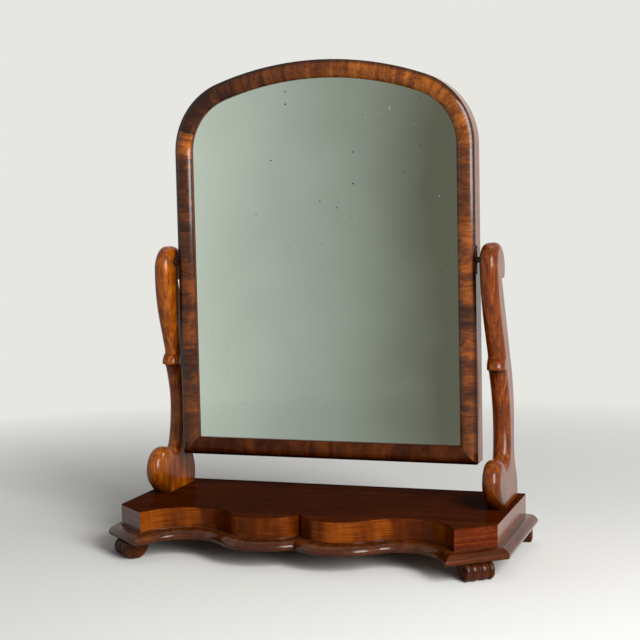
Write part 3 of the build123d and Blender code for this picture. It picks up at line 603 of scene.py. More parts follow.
def leaf_finish(name):
    if "left" in name:
        return flame_painted_shade
    if "bottom" in name:
        return flame_low
    if name in ("right_1", "right_4"):
        return flame_brown
    return mottled if "arch" in name and name != "arch_1" else flame


print("finishes", len(bpy.data.materials))

# %% [markdown]
# The joints between the leaves were never spaced evenly, so their places are written down
# one by one. The arch's end leaves run a little below the spring of the arch, and get a
# straight tail there. Each leaf is swept, softened, grained and dressed in one loop.

# %% Leaves of the facing
left_tail, right_tail = 9.0, 6.7
arch_joint_left, arch_joint_right = 19.0, 22.0
joints_left = (frame_bottom, 114.0, 209.0, 371.0, frame_spring - left_tail)
joints_right = (frame_bottom, 121.0, 213.0, 376.0, frame_spring - right_tail)
joints_bottom = (-frame_half, -88.0, 123.0, frame_half)
corner_arc = ((corner_x, frame_spring), corner_radius)
crown_arc = ((0.0, crown_z), crown_radius)
leaf_runs = []
for name, joints, side in (("left", joints_left, -1), ("right", joints_right, 1)):
    for number in range(4):
        leaf_runs.append((f"{name}_{number + 1}", upright_run,
                          (joints[number], joints[number + 1], side)))
for number in range(3):
    leaf_runs.append((f"bottom_{number + 1}", level_run, joints_bottom[number:number + 2]))
for number, sizes in enumerate((
        (*corner_arc, 0.0, arch_joint_left, -1, left_tail),
        (*corner_arc, arch_joint_left, corner_angle - arch_joint_left, -1),
        (*crown_arc, corner_angle, crown_angle),
        (*corner_arc, arch_joint_right, corner_angle - arch_joint_right, 1),
        (*corner_arc, 0.0, arch_joint_right, 1, right_tail))):
    leaf_runs.append((f"arch_{number + 1}", bent_run, sizes))
for number, (name, make, sizes) in enumerate(leaf_runs):
    piece = soften(make(f"leaf_{name}", facing_outline(), *sizes), 0.25, 2, 35.0)
    lay_grain(piece, run_measure(number * 0.731))
    dress(piece, leaf_finish(name))
    fit_up(piece, "mirror", "facing_dark" if "left" in name else "facing_warm",
           f"facing_{name}")
print("leaves", len(leaf_runs))

# %% [markdown]
# Under the leaves the members are plain mahogany, jointed at the spring of the arch. Only
# their outer edges show, redder than the facing and shiny where they are seen aslant.

# %% Plain wood under the leaves
members = (("stile_right", upright_run, (frame_bottom, frame_spring, 1)),
           ("stile_left", upright_run, (frame_bottom, frame_spring, -1)),
           ("bottom_rail", level_run, (-frame_half, frame_half)),
           ("arch_right", bent_run, (*corner_arc, 0.0, corner_angle, 1)),
           ("arch_left", bent_run, (*corner_arc, 0.0, corner_angle, -1)),
           ("arch_crown", bent_run, (*crown_arc, corner_angle, crown_angle)))
for number, (name, make, sizes) in enumerate(members):
    piece = soften(make(f"frame_{name}", core_outline(), *sizes), 0.4)
    lay_grain(piece, run_measure(number * 0.531))
    dress(piece, frame_side)
    fit_up(piece, "mirror", "frame", name)
print("members", len(members))

# %% [markdown]
# The plate is old silvered glass: a slightly grey-green mirror with small dark and pale
# specks where the silver has lifted. Its colour also holds a painted reflection, pale on the
# left and darker to the right. It is one flat pane cut to the arch, so its outline
# is a disc primitive moved to the arch and extruded by the glass's thickness.

# %% Mirror plate
plate_thickness = 4.0
plate_clearance = 0.4
# Painted reflection of a room: pale grey-green on the left, dark on the right.
painted_reflection_tones = ((0.0, (0.59, 0.67, 0.59)), (0.35, (0.41, 0.475, 0.42)),
                (0.62, (0.29, 0.34, 0.285)), (0.9, (0.13, 0.137, 0.10)))
specks = ((42.0, 0.90, 0.0, (0.03, 0.03, 0.025)), (60.0, 0.93, 1.7, (0.60, 0.62, 0.55)))


def arch_outline(inset, steps=24):
    """Corner points round the opening, counted from its lower left corner."""
    side = frame_half - inset
    low = frame_bottom + inset
    ring = corner_radius - inset
    wide = crown_radius - inset
    right = []
    for i in range(steps + 1):
        c, s = unit(corner_angle * i / steps)
        right.append((corner_x + ring * c, frame_spring + ring * s))
    for i in range(1, steps + 1):
        c, s = unit(corner_angle + (90.0 - corner_angle) * i / steps)
        right.append((wide * c, crown_z + wide * s))
    left = [(-x, z) for x, z in right[:-1]][::-1]
    return [(-side, low), (side, low)] + right + left


def silvered(name):
    """Old silver with a painted reflection, pale on the left and darker to the right, hazy, with
    specks near the top.
    """
    material, tree, shader = new_finish(name)
    place = object_place(tree)
    axes = axes_of(tree, place)
    wander = calculate(tree, "MULTIPLY_ADD", noise(tree, place, 5.0, 2.0), 0.10, axes["X"])
    # Painted reflection: the colour darkens from left to right across the plate.
    tone = ramp(tree, spread(tree, wander, -0.15, 0.25), *painted_reflection_tones)
    for scale, chance, shift, colour in specks:
        flat = mapped(tree, place, turn=(radians(-90), 0, 0), shift=(shift, shift, 0))
        spots = add_node(tree, "TexVoronoi", {"Vector": flat, "Scale": scale},
                         voronoi_dimensions="2D").outputs
        size = spread(tree, noise(tree, place, 90.0, 1.0), 0.3, 0.7, 0.02, 0.06)
        near = calculate(tree, "LESS_THAN", spots["Distance"], size)
        draw = add_node(tree, "SeparateColor", {"Color": spots["Color"]}).outputs["Red"]
        chosen = calculate(tree, "GREATER_THAN", draw, chance)
        high = spread(tree, axes["Z"], 0.40, 0.52, 0.25, 1.0)
        both = calculate(tree, "MULTIPLY", calculate(tree, "MULTIPLY", near, chosen), high)
        tone = blended(tree, both, tone, colour)
    connect(tree, shader, {"Base Color": tone, "Metallic": 1.0, "Roughness": 0.03})
    return material


plate = section_face("mirror_plate", [at(x, sight_front, z) for x, z in
                                      arch_outline(glass_inset + plate_clearance)])
push((0, plate_thickness * mm, 0))
soften(close_up(plate), 0.3)
dress(plate, silvered("Old silvered plate"))
fit_up(plate, "mirror", "plate", "mirror_glass")
print("plate corners", len(plate.data.vertices))

# %% [markdown]
# The plinth's front is a double serpentine: a convex lobe on each side of a notch in the
# middle, then a hollow, then a short flare to the corner. One list of points in plan
# serves the top, the frieze blocks and the moulding, so they stay parallel as they do
# when a cabinet maker cuts them all from one template.

# %% Plinth outline
half_width = 262.6
side_depth = 193.0
lobe_centre = (52.0, 167.0)
lobe_radius = 60.0
cove_radius = 71.0
cove_across = 148.0
flare = 12.5
flare_angle = 30.0
wall_steps = 36


def moved(point, way, distance):
    """The point in plan at a distance from another, along a direction."""
    return point[0] + way[0] * distance, point[1] + way[1] * distance


def halfway(a, b):
    """Direction midway between two outward normals: the line of a mitre."""
    size = hypot(a[0] + b[0], a[1] + b[1])
    return (a[0] + b[0]) / size, (a[1] + b[1]) / size


def floor_point(point, height=0.0):
    """A point of the plan at a height over the floor, in metres."""
    return metres(point[0], back_y - point[1], height)


cove_centre = (cove_across, lobe_centre[1] + sqrt((lobe_radius + cove_radius) ** 2
                                                  - (cove_across - lobe_centre[0]) ** 2))
lobe_end = degrees(atan2(cove_centre[1] - lobe_centre[1], cove_across - lobe_centre[0]))
cove_turn = 180.0 - flare_angle - lobe_end
cove_end = moved(cove_centre, unit(-flare_angle), cove_radius)
flare_way = (0.5, cos(radians(flare_angle)))
front_corner = moved(cove_end, flare_way, flare)
side_corner = (half_width, side_depth)
cant_length = hypot(side_corner[0] - front_corner[0], side_corner[1] - front_corner[1])
cant = ((side_corner[0] - front_corner[0]) / cant_length,
        (side_corner[1] - front_corner[1]) / cant_length)
cant_out = (-cant[1], cant[0])
front_mitre = halfway((-flare_way[1], flare_way[0]), cant_out)
side_mitre = halfway(cant_out, (1.0, 0.0))
print("front corner", front_corner, "cant", round(cant_length, 1))

# %% [markdown]
# The right half of the front is worked out once, from the notch to the corner, and the
# left half is its mirror image. The veneer was bent along the wall, so its grain is laid
# by the distance along the lobe, the hollow and the flare, with no jump between them.

# %% Front line and walls
def serpentine():
    """Points of the right half of the front, from the notch to the corner."""
    notch = degrees(atan2(sqrt(lobe_radius ** 2 - lobe_centre[0] ** 2), -lobe_centre[0]))
    points = [moved(lobe_centre, unit(notch + (lobe_end - notch) * i / wall_steps), lobe_radius)
              for i in range(wall_steps + 1)]
    points += [moved(cove_centre, unit(180.0 + lobe_end + cove_turn * i / wall_steps),
                     cove_radius) for i in range(1, wall_steps + 1)]
    return points + [front_corner]


def mirror_plan(points):
    return [(-x, front) for x, front in points][::-1]


def wall_measure(offset=0.0):
    """Distance along the front or side, and height, for grain that follows the wall."""
    end_zone = 36.0
    side_along = 800.0
    depth_share = 0.04
    first, last = radians(lobe_end - 90.0), radians(90.0 - flare_angle)

    def measure(co):
        x, front, height = measured(co)
        across = abs(x)
        swing = atan2(across - cove_centre[0], cove_centre[1] - front)
        if front < side_depth and across > half_width - end_zone:
            along = side_along + front
        elif across < lobe_centre[0] + lobe_radius * cos(radians(lobe_end)):
            along = -lobe_radius * atan2(front - lobe_centre[1], across - lobe_centre[0])
        else:
            along = -lobe_radius * radians(lobe_end) + cove_radius * (min(swing, last) - first)
            if swing > last:
                along += hypot(across - cove_end[0], front - cove_end[1])
        depth = hypot(across, front) * depth_share
        return (along if x > 0 else -along) * mm + offset, (height + plinth_top + depth) * mm
    return measure


def slab(name, points, bottom, thickness):
    """A flat block with a plan outline, between two heights over the floor."""
    piece = section_face(name, [floor_point(point, bottom) for point in points])
    push((0, 0, thickness * mm))
    return close_up(piece)


print("front line points", len(serpentine()))

# %% [markdown]
# The top is one wide veneer, almost matt, because it is seen at a low angle and the real
# one shows hardly any shine. The frieze is veneered with its bright figure standing
# upright. The blocks under it meet on the mitres that the moulding has too. The left cant
# block has a thick, hazy coat, and its colour is painted greyer and paler than its twin's:
# a painted reflection of the pale surroundings.

# %% Top and frieze
top_wood = wood("Plinth top mahogany", (0.018, 0.0025, 0.0002), (0.042, 0.007, 0.0005),
                (0.080, 0.015, 0.001), grain="X", coat=0.015, coat_roughness=0.15,
                ribbon=(2.0, 40.0), cloud=10.0, contrast=0.26)
frieze_wood = wood("Frieze mahogany", (0.020, 0.003, 0.0002), (0.078, 0.0135, 0.0006),
                   (0.24, 0.054, 0.003), ribbon=(26.0, 5.0), coat=0.14, cloud=16.0,
                   weights=(0.5, 0.15, 0.35), contrast=0.2, mottle=(22.0, 1300.0), wave=0.2,
                   pores=(30.0, 2200.0))
cant_wood = wood("Cant mahogany", (0.030, 0.0028, 0.0002), (0.080, 0.0095, 0.0006),
                 (0.14, 0.022, 0.0015), ribbon=(8.0, 190.0), coat=0.2, wave=0.15)
# Painted reflection: the left cant's colour is greyer and paler than the right one's.
grey_sheen_cant_wood = wood("Left cant mahogany", (0.030, 0.0050, 0.0010), (0.075, 0.0140, 0.0030),
                 (0.13, 0.030, 0.006), ribbon=(8.0, 190.0), coat=0.9, coat_roughness=0.25)
side_wood = wood("End mahogany", (0.045, 0.006, 0.0006), (0.125, 0.022, 0.002),
                 (0.22, 0.048, 0.005), ribbon=(8.0, 190.0), coat=0.4, wave=0.3, rim=1.0)
right_end = [side_corner, (half_width, 0.0)]
top = slab("plinth_top_leaf",
           mirror_plan(serpentine())[:-1] + serpentine() + right_end + mirror_plan(right_end),
           plinth_top - veneer_thickness, veneer_thickness)
soften(top, 0.5, 3)
dress(top, top_wood)
fit_up(top, "stand", "top_veneer", "plinth_top")
print("top corners", len(top.data.vertices))

# %% [markdown]
# The front block is sawn to the serpentine and flat behind. Its ends, the cant blocks and
# the end rails meet on mitres that start at the outline's corners, so a mitre's line is
# followed inwards to the rail's inner side.

# %% Frieze blocks
rail_x = half_width - 34.0
block_back = 152.0


def mitre_to(corner, mitre, x):
    """Where a mitre that starts at a corner of the outline reaches a line across."""
    return x, corner[1] + mitre[1] * (x - corner[0]) / mitre[0]


front_joint = mitre_to(front_corner, front_mitre, rail_x)
side_joint = mitre_to(side_corner, side_mitre, rail_x)
block_plans = {
    "front_block": serpentine() + [front_joint, (rail_x, block_back), (0.0, block_back)],
    "cant_block": [front_corner, side_corner, side_joint, front_joint],
    "end_rail": [side_corner, (half_width, 0.0), (rail_x, 0.0), side_joint]}
frieze_height = plinth_top - veneer_thickness - frieze_bottom
for number, (name, plan) in enumerate(block_plans.items()):
    for side in ("right", "left"):
        points = plan if side == "right" else mirror_plan(plan)
        piece = slab(f"{name}_{side}_faced", points, frieze_bottom, frieze_height)
        soften(piece, 0.25, 2, 50.0)
        lay_grain(piece, wall_measure(number * 0.77))
        dress(piece, {"front_block": frieze_wood, "end_rail": side_wood,
                      "cant_block": cant_wood if side == "right" else grey_sheen_cant_wood}[name])
        fit_up(piece, "stand", "frieze", f"{name}_{side}")
print("frieze height", round(frieze_height, 1))

# %% [markdown]
# The base moulding is a full ovolo with a flat shelf, a fine quirk against the frieze and
# a cheek that turns back under its nose. Its section is spun round the lobe, then the
# other way round the hollow, and pushed straight along the flare. The mitres at the notch
# and the corners are cut with bisect, as a saw in a mitre box would.

# %% Base moulding
moulding_out = 17.0
moulding_seat = 14.0
moulding_start = 165.0
mitre_spare = 60.0
moulding_wood = wood("Base moulding mahogany", (0.016, 0.003, 0.0005), (0.048, 0.0095, 0.0011),
                     (0.11, 0.026, 0.0033), coat=0.5, coat_roughness=0.14)
# Painted light: a lighter copy of the moulding's colour for the right cant and side runs.
moulding_lit_wood = wood("Moulding end mahogany", (0.022, 0.004, 0.0006),
                         (0.062, 0.0125, 0.0015), (0.13, 0.031, 0.004), coat=0.3,
                         coat_roughness=0.1, rim=1.0)


def ovolo():
    """Section as (outwards, up), anticlockwise from the inner lower corner."""
    quirk = 0.7
    nose = (moulding_out, 5.1)
    shelf = moulding_height - quirk
    cheek = curve_points((15.4, 0.0), (16.5, 2.3), nose, 6)
    quarter = curve_points(nose, (12.6, 10.7), (5.5, shelf), 14)
    return ([(-moulding_seat, 0.0)] + cheek + quarter[1:]
            + [(quirk, shelf), (quirk, moulding_height), (-moulding_seat, moulding_height)])


def stand_section(name, origin, outward):
    """The ovolo standing at a point of the outline, facing outwards."""
    return section_face(name, [floor_point(moved(origin, outward, u), foot_height + v)
                               for u, v in ovolo()])


print("ovolo points", len(ovolo()))

# %% [markdown]
# There is one run for each front, cant and side. The cant's run is made too long at both
# ends and the side's at one, and then the mitres are sawn. Only the right half is
# modelled: the left runs are mirrored copies.

# %% Moulding runs
def push_along(way, length):
    """Extrude the end face along a direction in plan."""
    push((way[0] * length * mm, -way[1] * length * mm, 0.0))


def saw_mitre(corner, mitre, side):
    """Saw the piece off at a mitre, on one side of it."""
    score(floor_point(corner), (side * mitre[1], side * mitre[0], 0.0), drop=True)


def front_moulding(name):
    start = unit(moulding_start)
    piece = stand_section(name, moved(lobe_centre, start, lobe_radius), start)
    bend(floor_point(lobe_centre), (0, 0, 1), moulding_start - lobe_end, wall_steps)
    bend(floor_point(cove_centre), (0, 0, -1), cove_turn, wall_steps)
    push_along(flare_way, 4 * flare)
    score((0, 0, 0), (-1, 0, 0), drop=True)
    saw_mitre(front_corner, front_mitre, 1)
    return close_up(piece)


def cant_moulding(name):
    piece = stand_section(name, moved(front_corner, cant, -mitre_spare), cant_out)
    push_along(cant, cant_length + 2 * mitre_spare)
    saw_mitre(front_corner, front_mitre, -1)
    saw_mitre(side_corner, side_mitre, 1)
    return close_up(piece)


def side_moulding(name):
    piece = stand_section(name, (half_width, 0.0), (1.0, 0.0))
    push_along((0.0, 1.0), side_depth + mitre_spare)
    saw_mitre(side_corner, side_mitre, -1)
    return close_up(piece)


def mirrored_copy(piece, name):
    """The same piece for the other side, turned outside out again."""
    twin = copied(piece, name)
    for vertex in twin.data.vertices:
        vertex.co.x = -vertex.co.x
    twin.data.flip_normals()
    return twin


for number, (node, make) in enumerate((("moulding_front", front_moulding),
                                       ("moulding_cant", cant_moulding),
                                       ("moulding_side", side_moulding))):
    right = soften(make(f"{node}_right_run"), 0.3, 2, 28.0)
    left = mirrored_copy(right, f"{node}_left_run")
    for side, piece in (("right", right), ("left", left)):
        lay_grain(piece, wall_measure(3.1 + number))
        # The right cant and side runs take the lighter copy, painted light on the side facing the
        # lamps.
        dress(piece, moulding_lit_wood if piece is right and number else moulding_wood)
        fit_up(piece, "stand", "moulding", f"{node}_{side}")
    print(node, len(right.data.polygons), "faces")

# %% [markdown]
# Each front foot is a short roll of four reeds, like a little drum lying under the
# moulding, with a plain bracket behind it. The back feet, nearly out of sight, are thin
# plain brackets, glued on.

# %% Sizes of the feet
foot_wood = wood("Foot mahogany", (0.012, 0.003, 0.0006), (0.040, 0.009, 0.0015),
                 (0.090, 0.022, 0.004), coat=0.3, coat_roughness=0.1)
roll_radius = 12.5
roll_out = 4.4
reeds = (5.4, 12.6, 12.6, 5.4)
reed_groove = 0.7
reed_swell = 0.16
foot_width = sum(reeds) + reed_groove * (len(reeds) - 1)
foot_heel = -3.0
foot_inside = -18.5
foot_neck = 18.0
swell_middle = (-13.5, 7.0)
bracket_inset = 1.0
dish = ((0.0, 0.0), (2.4, 0.1), (3.1, 0.8), (3.4, 1.4), (7.6, 1.4), (8.2, 1.0), (8.7, 0.1),
        (9.6, 0.0))
screw_inset = -7.5
screw_spacing = 18.0
screw_recess = 9.0
screw_hole_radius = 4.2
drill_spare = 2.0
back_foot_half = 4.5
back_foot_place = 4.9
toe = curve_points((7.9, 0.0), (9.2, 3.4), (9.6, 8.0), 7) + [(9.6, foot_height)]
print("foot width", round(foot_width, 1))

# %% [markdown]
# A real drum is turned on a lathe, and so is this one: its outline is drawn once as a line
# of points and spun a full turn. The reeds are arcs with narrow grooves between them, and
# the ends are dished round a button.

# %% Reeded drum
def drum_outline():
    """Half section of the drum: (place along it, distance from its centre line)."""
    half = foot_width / 2
    points = [(-half + depth, radius) for radius, depth in dish]
    start = -half
    for reed in reeds:
        shoulder = roll_radius - reed * reed_swell
        points += curve_points((start + reed, shoulder), (start + reed / 2, roll_radius),
                               (start, shoulder), 9)[::-1]
        start += reed + reed_groove
    return points + [(half - depth, radius) for radius, depth in dish[::-1]]


def reeded_drum():
    """The outline spun a full turn. The blank ring's last edge is left loose and dropped."""
    outline = drum_outline()
    drum = shape_rim(blank_ring(len(outline), "NOTHING"),
                     [metres(roll_out, along, roll_radius + radius) for along, radius in outline])
    bpy.ops.mesh.spin(steps=64, angle=2 * pi, center=metres(roll_out, 0, roll_radius),
                      axis=(0, 1, 0))
    return close_up(drum, 2 * merge_distance)


print("drum points", len(drum_outline()))

# %% [markdown]
# The bracket is sawn from the board with a hollow inner curve. It is a section extruded
# along the wall, and a cylinder drills each screw hole from below.

# %% Foot bracket
def foot_bracket(face, half, sides=(-1, 1)):
    """A bracket with the given outer face, extruded along the wall and drilled."""
    swell = curve_points((foot_inside, foot_neck), swell_middle, (foot_heel, 0.0), 12)
    corners = face + [(foot_inside, foot_height)] + swell
    bracket = section_face("foot_bracket", [metres(u, -half, v) for u, v in corners])
    push((0, 2 * half * mm, 0))
    close_up(bracket)
    for side in sides:
        deselect_all()
        bpy.ops.mesh.primitive_cylinder_add(
            vertices=32, radius=screw_hole_radius * mm, depth=(screw_recess + 2 * drill_spare) * mm,
            location=metres(screw_inset, side * screw_spacing / 2, screw_recess / 2 - drill_spare))
        combine(bracket, bpy.context.active_object, "DIFFERENCE")
    return bracket


print("bracket from", foot_inside, "to", roll_out)

# %% [markdown]
# Drum and bracket are joined into one front foot, grained along its width. Both kinds of
# foot are made once at the origin, then copied, turned to face outwards and moved to
# their corners: the front ones square to the cants, the back ones to the sides.

# %% Feet in place
def drum_grain(co):
    """Grain along the drum, wound round it."""
    angle = atan2(co.z * 1000.0 - roll_radius, co.x * 1000.0 - roll_out)
    return co.y, angle * roll_radius * mm


def bracket_grain(co):
    """Grain level, along the wall."""
    return co.y, co.z + co.x


front_pattern = reeded_drum()
bracket = foot_bracket([(roll_out, 0.0), (roll_out, foot_height)], foot_width / 2 - bracket_inset)
take_up(front_pattern)
bracket.select_set(True)
bpy.ops.object.join()
soften(front_pattern, 0.2, 2, 50.0)
lay_grain(front_pattern, drum_grain)
back_pattern = soften(foot_bracket(toe, back_foot_half, ()), 0.4, 2, 50.0)
lay_grain(back_pattern, bracket_grain)
cant_turn = -atan2(cant_out[1], cant_out[0])
cant_middle = ((front_corner[0] + side_corner[0]) / 2, (front_corner[1] + side_corner[1]) / 2)
for name, side, shift in (("right", 1, -1.5), ("left", -1, 2.0)):
    x, front = moved(cant_middle, cant, shift)
    for pattern, title, node, turn, spot in (
            (front_pattern, "reeded_foot_front", "foot_front",
             cant_turn if side > 0 else pi - cant_turn, (side * x, front)),
            (back_pattern, "bracket_foot_back", "foot_back",
             0.0 if side > 0 else pi, (side * half_width, back_foot_place))):
        piece = dress(copied(pattern, f"{title}_{name}"), foot_wood)
        piece.data.transform(Matrix.Translation(floor_point(spot)) @ Matrix.Rotation(turn, 4, "Z"))
        fit_up(piece, "stand", "foot", f"{node}_{name}")
bpy.data.objects.remove(front_pattern)
bpy.data.objects.remove(back_pattern)
print("cants turned by", round(degrees(cant_turn), 1), "degrees")

# %% [markdown]
# A support is a thick board sawn to a long scroll, its front edge rounded over, leaning in
# a little. Its shape is easiest to think of as if it stood plumb, so two helpers turn a
# point upright and lean it back again.

# %% Sizes of a support
support_foot = 242.3
support_lean = radians(1.4)
half_thick = 12.3
round_over = 11.9
tight_inside, tight_outside = 10.0, 8.5
head_centre = (75.0, 319.0)
head_radius = 32.0
head_start, head_end = 20.0, 215.0
stem_set_back = 1.8
collar_bottom = 180.7
collar_heel = 56.0
bell = ((collar_bottom, 82.0), (180.9, 83.2), (181.6, 83.9), (183.0, 84.2), (185.0, 84.0),
        (187.5, 83.1), (190.0, 81.7), (192.5, 79.8), (194.4, 78.0), (195.4, 76.4))
lean_cos, lean_sin = cos(support_lean), sin(support_lean)


def upright(co):
    """Across from the middle plane, front and height of a point, as if it stood plumb."""
    x, front, height = measured(co)
    across = x - support_foot
    return (across * lean_cos + height * lean_sin, front,
            height * lean_cos - across * lean_sin)


def leaning(across, front, height):
    """The way back: a plumb point at its place on the leaning support."""
    return at(support_foot + across * lean_cos - height * lean_sin, front,
              across * lean_sin + height * lean_cos)


print("support leans by", round(degrees(support_lean), 1), "degrees")

# %% [markdown]
# Over the top of the head the rounding gets tighter, so the head looks squarer from the
# front, and the stem is set back just under the collar. Both are small moves of the
# board's own vertices that fade in and out, so no edge shows where they start.

# %% Head and stem
def ease(value, low, high):
    """A share from 0 to 1 that starts and ends gently."""
    share = min(1.0, max(0.0, (value - low) / (high - low)))
    return share * share * (3.0 - 2.0 * share)


def squared_head(across, front, height):
    """Tighten the rounding over the top of the head, more on the outer side."""
    out, up = front - head_centre[0], height - head_centre[1]
    reach = hypot(out, up)
    angle = degrees(atan2(up, out))
    angle += 360.0 if angle < -90.0 else 0.0
    if reach < head_radius - round_over - 0.01 or not head_start <= angle <= head_end:
        return across, front, height
    tight = tight_inside if across < 0 else tight_outside
    radius = round_over + (tight - round_over) * ease(angle, 25.0, 95.0)
    flat = half_thick - round_over
    if abs(across) <= flat:
        width, new_reach = abs(across) * (half_thick - radius) / flat, reach
    else:
        turn = atan2(abs(across) - flat, reach - (head_radius - round_over))
        width = half_thick - radius + radius * sin(turn)
        new_reach = head_radius - radius + radius * cos(turn)
    share = new_reach / reach
    side = -1 if across < 0 else 1
    return side * width, head_centre[0] + out * share, head_centre[1] + up * share


def set_back(across, front, height):
    """Draw the front of the stem in under the collar."""
    if height < collar_bottom + 0.4:
        front -= stem_set_back * ease(height, 156.0, 179.0) * ease(front, 46.0, 56.0)
    return across, front, height


print("stem set back by", stem_set_back, "mm")

# %% [markdown]
# The collar is a bell round the board's front: one outline drawn at ten heights and
# joined to the board with a boolean, so it keeps a crisp rim. The board itself is a copy
# of the CAD mesh, merged first, because that mesh is loose triangles.

# %% Collar and board
def collar_bell():
    """The bell's outline at each of its heights, joined by extruding one ring upwards."""
    half = half_thick + 0.1
    steps = 24
    rings = []
    for height, front in bell:
        for i in range(steps + 1):
            c, s = unit(-90.0 + 180.0 * i / steps)
            rings.append(leaning(half * s, front - half + half * c, height))
        rings += [leaning(across, collar_heel, height) for across in (half - 0.25, 0.25 - half)]
    bell_piece = section_face("collar_bell", rings[:steps + 3])
    for _ in bell[1:]:
        push((0, 0, mm))
    bpy.ops.object.mode_set(mode="OBJECT")
    return close_up(shape_rim(bell_piece, rings))


def support_board():
    """A merged copy of the right support, with the bell joined on."""
    node = nodes["support_right"]
    board = copied(node, "support_right_shaped")
    board.parent = None
    for key in list(board.keys()):
        del board[key]
    board.data.transform(node.matrix_world)
    board.matrix_world = Matrix.Identity(4)
    take_up(board)
    bpy.ops.mesh.customdata_custom_splitnormals_clear()
    bpy.ops.object.mode_set(mode="EDIT")
    close_up(board)
    for vertex in board.data.vertices:
        vertex.co = leaning(*set_back(*squared_head(*upright(vertex.co))))
    combine(board, collar_bell(), "UNION")
    return smooth(board, 35.0)


print("bell rings", len(bell))

# %% [markdown]
# The supports are the brightest wood: straight grained, orange, with a thick polish. Two
# bands of painted shade give them depth. One darkens the stem's front up under the collar's
# rim, and one the foot of the scroll, each with its lower and upper end, the place in front
# of which it lies, and its share of shade at both ends.

# %% Finish of the supports
# Painted shade: darker under the collar's rim and at the foot of the scroll.
collar_painted_shade = ((plinth_top + 148.0) * mm, (plinth_top + collar_bottom) * mm,
                (back_y - 74.0) * mm, 0.0, 0.85)
scroll_painted_shade = (plinth_top * mm, (plinth_top + 48.0) * mm, (back_y - 104.0) * mm, 0.85, 0.0)
support_wood = wood("Support mahogany", (0.044, 0.0062, 0.0003), (0.150, 0.027, 0.0008),
                    (0.36, 0.094, 0.003), grain="Z", ribbon=(5.0, 260.0), coat=0.5,
                    coat_roughness=0.17, mottle=(36.0, 1500.0), cloud=22.0,
                    weights=(0.4, 0.25, 0.35), wave=0.15, contrast=0.18, pore_depth=0.35,
                    pores=(24.0, 2200.0), rim=1.0, drift=(-0.25, 0.25, 0.03, -0.05),
                    painted_shades=(collar_painted_shade, scroll_painted_shade))
right = dress(support_board(), support_wood)
left = mirrored_copy(right, "support_left_shaped")
fit_up(right, "stand", "support", "support_right")
fit_up(left, "stand", "support", "support_left")
print("support faces", len(right.data.polygons))

# %% [markdown]
# What is left of the CAD model is plain inside work: softwood boards and blocks, brass
# pivots, leather washers and steel screws. Their meshes stay as they are and only get
# their finishes. The softwood runs along the longest side of each piece, and the metals
# are clouded and a little rough, since nobody has polished them for a century. The brass
# and the leather are painted almost black: tarnish, and painted shade where they sit
# between the frame and the supports.

# %% Inside work
def clouded(name, low, high, metallic, roughness, scale, grain):
    """A plain substance whose colour and roughness wander with two noises."""
    material, tree, shader = new_finish(name)
    place = object_place(tree)
    broad = noise(tree, place, scale, 3.0, 0.8)
    fine = noise(tree, place, grain, 2.0)
    both = calculate(tree, "MULTIPLY_ADD", fine, 0.35, calculate(tree, "MULTIPLY", broad, 0.65))
    connect(tree, shader, {
        "Base Color": ramp(tree, spread(tree, both, 0.35, 0.65), (0.0, low), (1.0, high)),
        "Roughness": spread(tree, broad, 0.3, 0.7, *roughness), "Metallic": metallic,
        "Normal": grit(tree, fine, 0.25, 0.0002)})
    return material


# Painted shade: the brass and the leather are made nearly black where they sit in shadow.
brass = clouded("Aged brass", (0.016, 0.010, 0.005), (0.070, 0.044, 0.018), 1.0, (0.38, 0.58),
                160.0, 2200.0)
steel = clouded("Screw steel", (0.06, 0.055, 0.05), (0.20, 0.19, 0.18), 1.0, (0.38, 0.58),
                220.0, 2600.0)
leather = clouded("Washer leather", (0.018, 0.009, 0.005), (0.055, 0.028, 0.013), 0.0,
                  (0.62, 0.80), 300.0, 1800.0)
deal = [wood(f"Stained deal along {axis}", (0.085, 0.040, 0.016), (0.17, 0.088, 0.038),
             (0.26, 0.15, 0.070), grain=axis, ribbon=(1.6, 110.0), coat=0.0,
             mottle=(12.0, 500.0), pores=(14.0, 900.0), contrast=0.2, cloud=8.0)
        for axis in "XYZ"]


def inside_finish(name):
    """The finish of a CAD piece, by what it is, or along its longest side."""
    if "washer" in name:
        return leather
    if "screws" in name and "plate" not in name:
        return steel
    if "pivot" in name:
        return brass
    spans = nodes[name].dimensions
    return deal[max(range(3), key=lambda i: spans[i])]


dressed = [name for name in sorted(nodes) if not nodes[name].hide_render]
for name in dressed:
    for slot in nodes[name].material_slots:
        slot.material = inside_finish(name)
print("CAD pieces dressed", dressed)

# %% [markdown]
# The mirror stands on a pale floor that fades into an equally pale background. Only the
# camera, reflections and glass see that background: the light it gives is weak, so that
# the lamps shape the wood. Light Path's outputs tell these rays apart.

# %% Floor and background
backdrop = (0.80, 0.795, 0.76)
floor_tone = (0.80, 0.795, 0.765)
fade_from, fade_to = 0.45, 1.5
air_light = 0.13
deselect_all()
bpy.ops.mesh.primitive_circle_add(vertices=96, radius=6.0, fill_type="NGON", location=(0, 0, 0))
floor = bpy.context.active_object
floor.name = "floor"


def mix_to(tree, output, factor, a, b):
    """Mix two shaders by a factor into the tree's output."""
    mix = add_node(tree, "MixShader", {0: factor, 1: a, 2: b})
    add_node(tree, output, {"Surface": mix.outputs["Shader"]})


paper, tree = new_finish("Pale floor")[:2]
tree.nodes.clear()
reach = add_node(tree, "VectorMath", {0: object_place(tree)}, operation="LENGTH")
mix_to(tree, "OutputMaterial", spread(tree, reach.outputs["Value"], fade_from, fade_to),
       add_node(tree, "BsdfDiffuse", {"Color": floor_tone}).outputs["BSDF"],
       add_node(tree, "Emission", {"Color": backdrop}).outputs["Emission"])
floor.data.materials.append(paper)

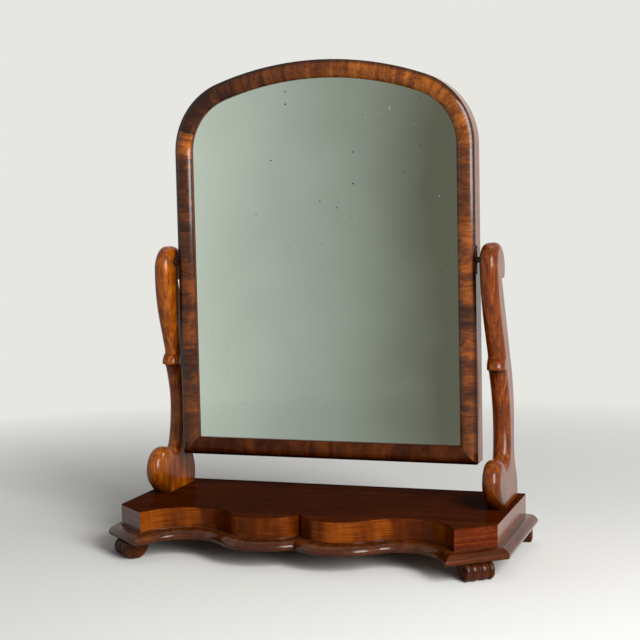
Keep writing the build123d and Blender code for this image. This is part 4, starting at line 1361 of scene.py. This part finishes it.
world = bpy.data.worlds.new("Studio")
bpy.context.scene.world = world
world.use_nodes = True
tree = world.node_tree
tree.nodes.clear()
path = add_node(tree, "LightPath", {}).outputs
seen = calculate(tree, "MAXIMUM", path["Is Camera Ray"], path["Is Glossy Ray"])
mix_to(tree, "OutputWorld", calculate(tree, "MAXIMUM", seen, path["Is Transmission Ray"]),
       add_node(tree, "Background", {"Color": (1, 1, 1), "Strength": air_light}).outputs[0],
       add_node(tree, "Background", {"Color": backdrop}).outputs[0])
print("backdrop", backdrop)

# %% [markdown]
# Most of the light comes from the right and in front: a strong lamp that draws the sharp
# highlights, and a wide weak one beside it that draws their soft edges. A faint lamp on
# the left keeps that side from going black, and one overhead, behind, lights the floor.

# %% Lamps
def lamp(name, spot, target, width, height, power):
    """A soft rectangular lamp that points at a place on the mirror."""
    data = bpy.data.lights.new(name, "AREA")
    data.shape = "RECTANGLE"
    data.size = width
    data.size_y = height
    data.energy = power
    made = bpy.data.objects.new(name, data)
    bpy.context.collection.objects.link(made)
    made.location = spot
    made.rotation_euler = (Vector(target) - Vector(spot)).to_track_quat("-Z", "Y").to_euler()


lamp("Key lamp", (1.75, -1.35, 1.22), (0, 0, 0.35), 0.95, 1.7, 80.0)
lamp("Wide lamp", (1.9, -1.45, 1.2), (0, 0, 0.35), 2.8, 1.7, 18.0)
lamp("Fill lamp", (-2.3, -0.7, 1.1), (0, 0, 0.3), 0.8, 1.2, 1.5)
lamp("Top lamp", (0.1, 0.6, 2.2), (0, 0, 0.2), 1.2, 0.8, 6.0)
print("lamps", len(bpy.data.lights))

# %% [markdown]
# The photograph was taken from the right, a little above the mirror, with the camera
# tipped down and slightly turned. Its place, its three angles and its lens were fitted to
# the frame, the plinth and the pivots, so the render can be laid over the photograph.

# %% Camera
camera_spot = metres(613.9, -1761.92, 471.99)
yaw, pitch, roll = radians(18.9044), radians(-4.7395), radians(-1.2277)
ahead = Vector((-sin(yaw) * cos(pitch), cos(yaw) * cos(pitch), sin(pitch)))
level = ahead.cross(Vector((0, 0, 1))).normalized()
raised = level.cross(ahead)
right_way = level * cos(roll) + raised * sin(roll)
up_way = raised * cos(roll) - level * sin(roll)
camera_data = bpy.data.cameras.new("Camera")
camera_data.lens = 78.19
camera_data.sensor_width = 36.0
camera = bpy.data.objects.new("Camera", camera_data)
bpy.context.collection.objects.link(camera)
facing = Matrix((right_way, up_way, -ahead)).transposed().to_4x4()
camera.matrix_world = Matrix.Translation(camera_spot) @ facing
bpy.context.scene.camera = camera
bpy.context.scene.view_settings.view_transform = "Standard"
print("camera at", tuple(round(value, 3) for value in camera_spot))
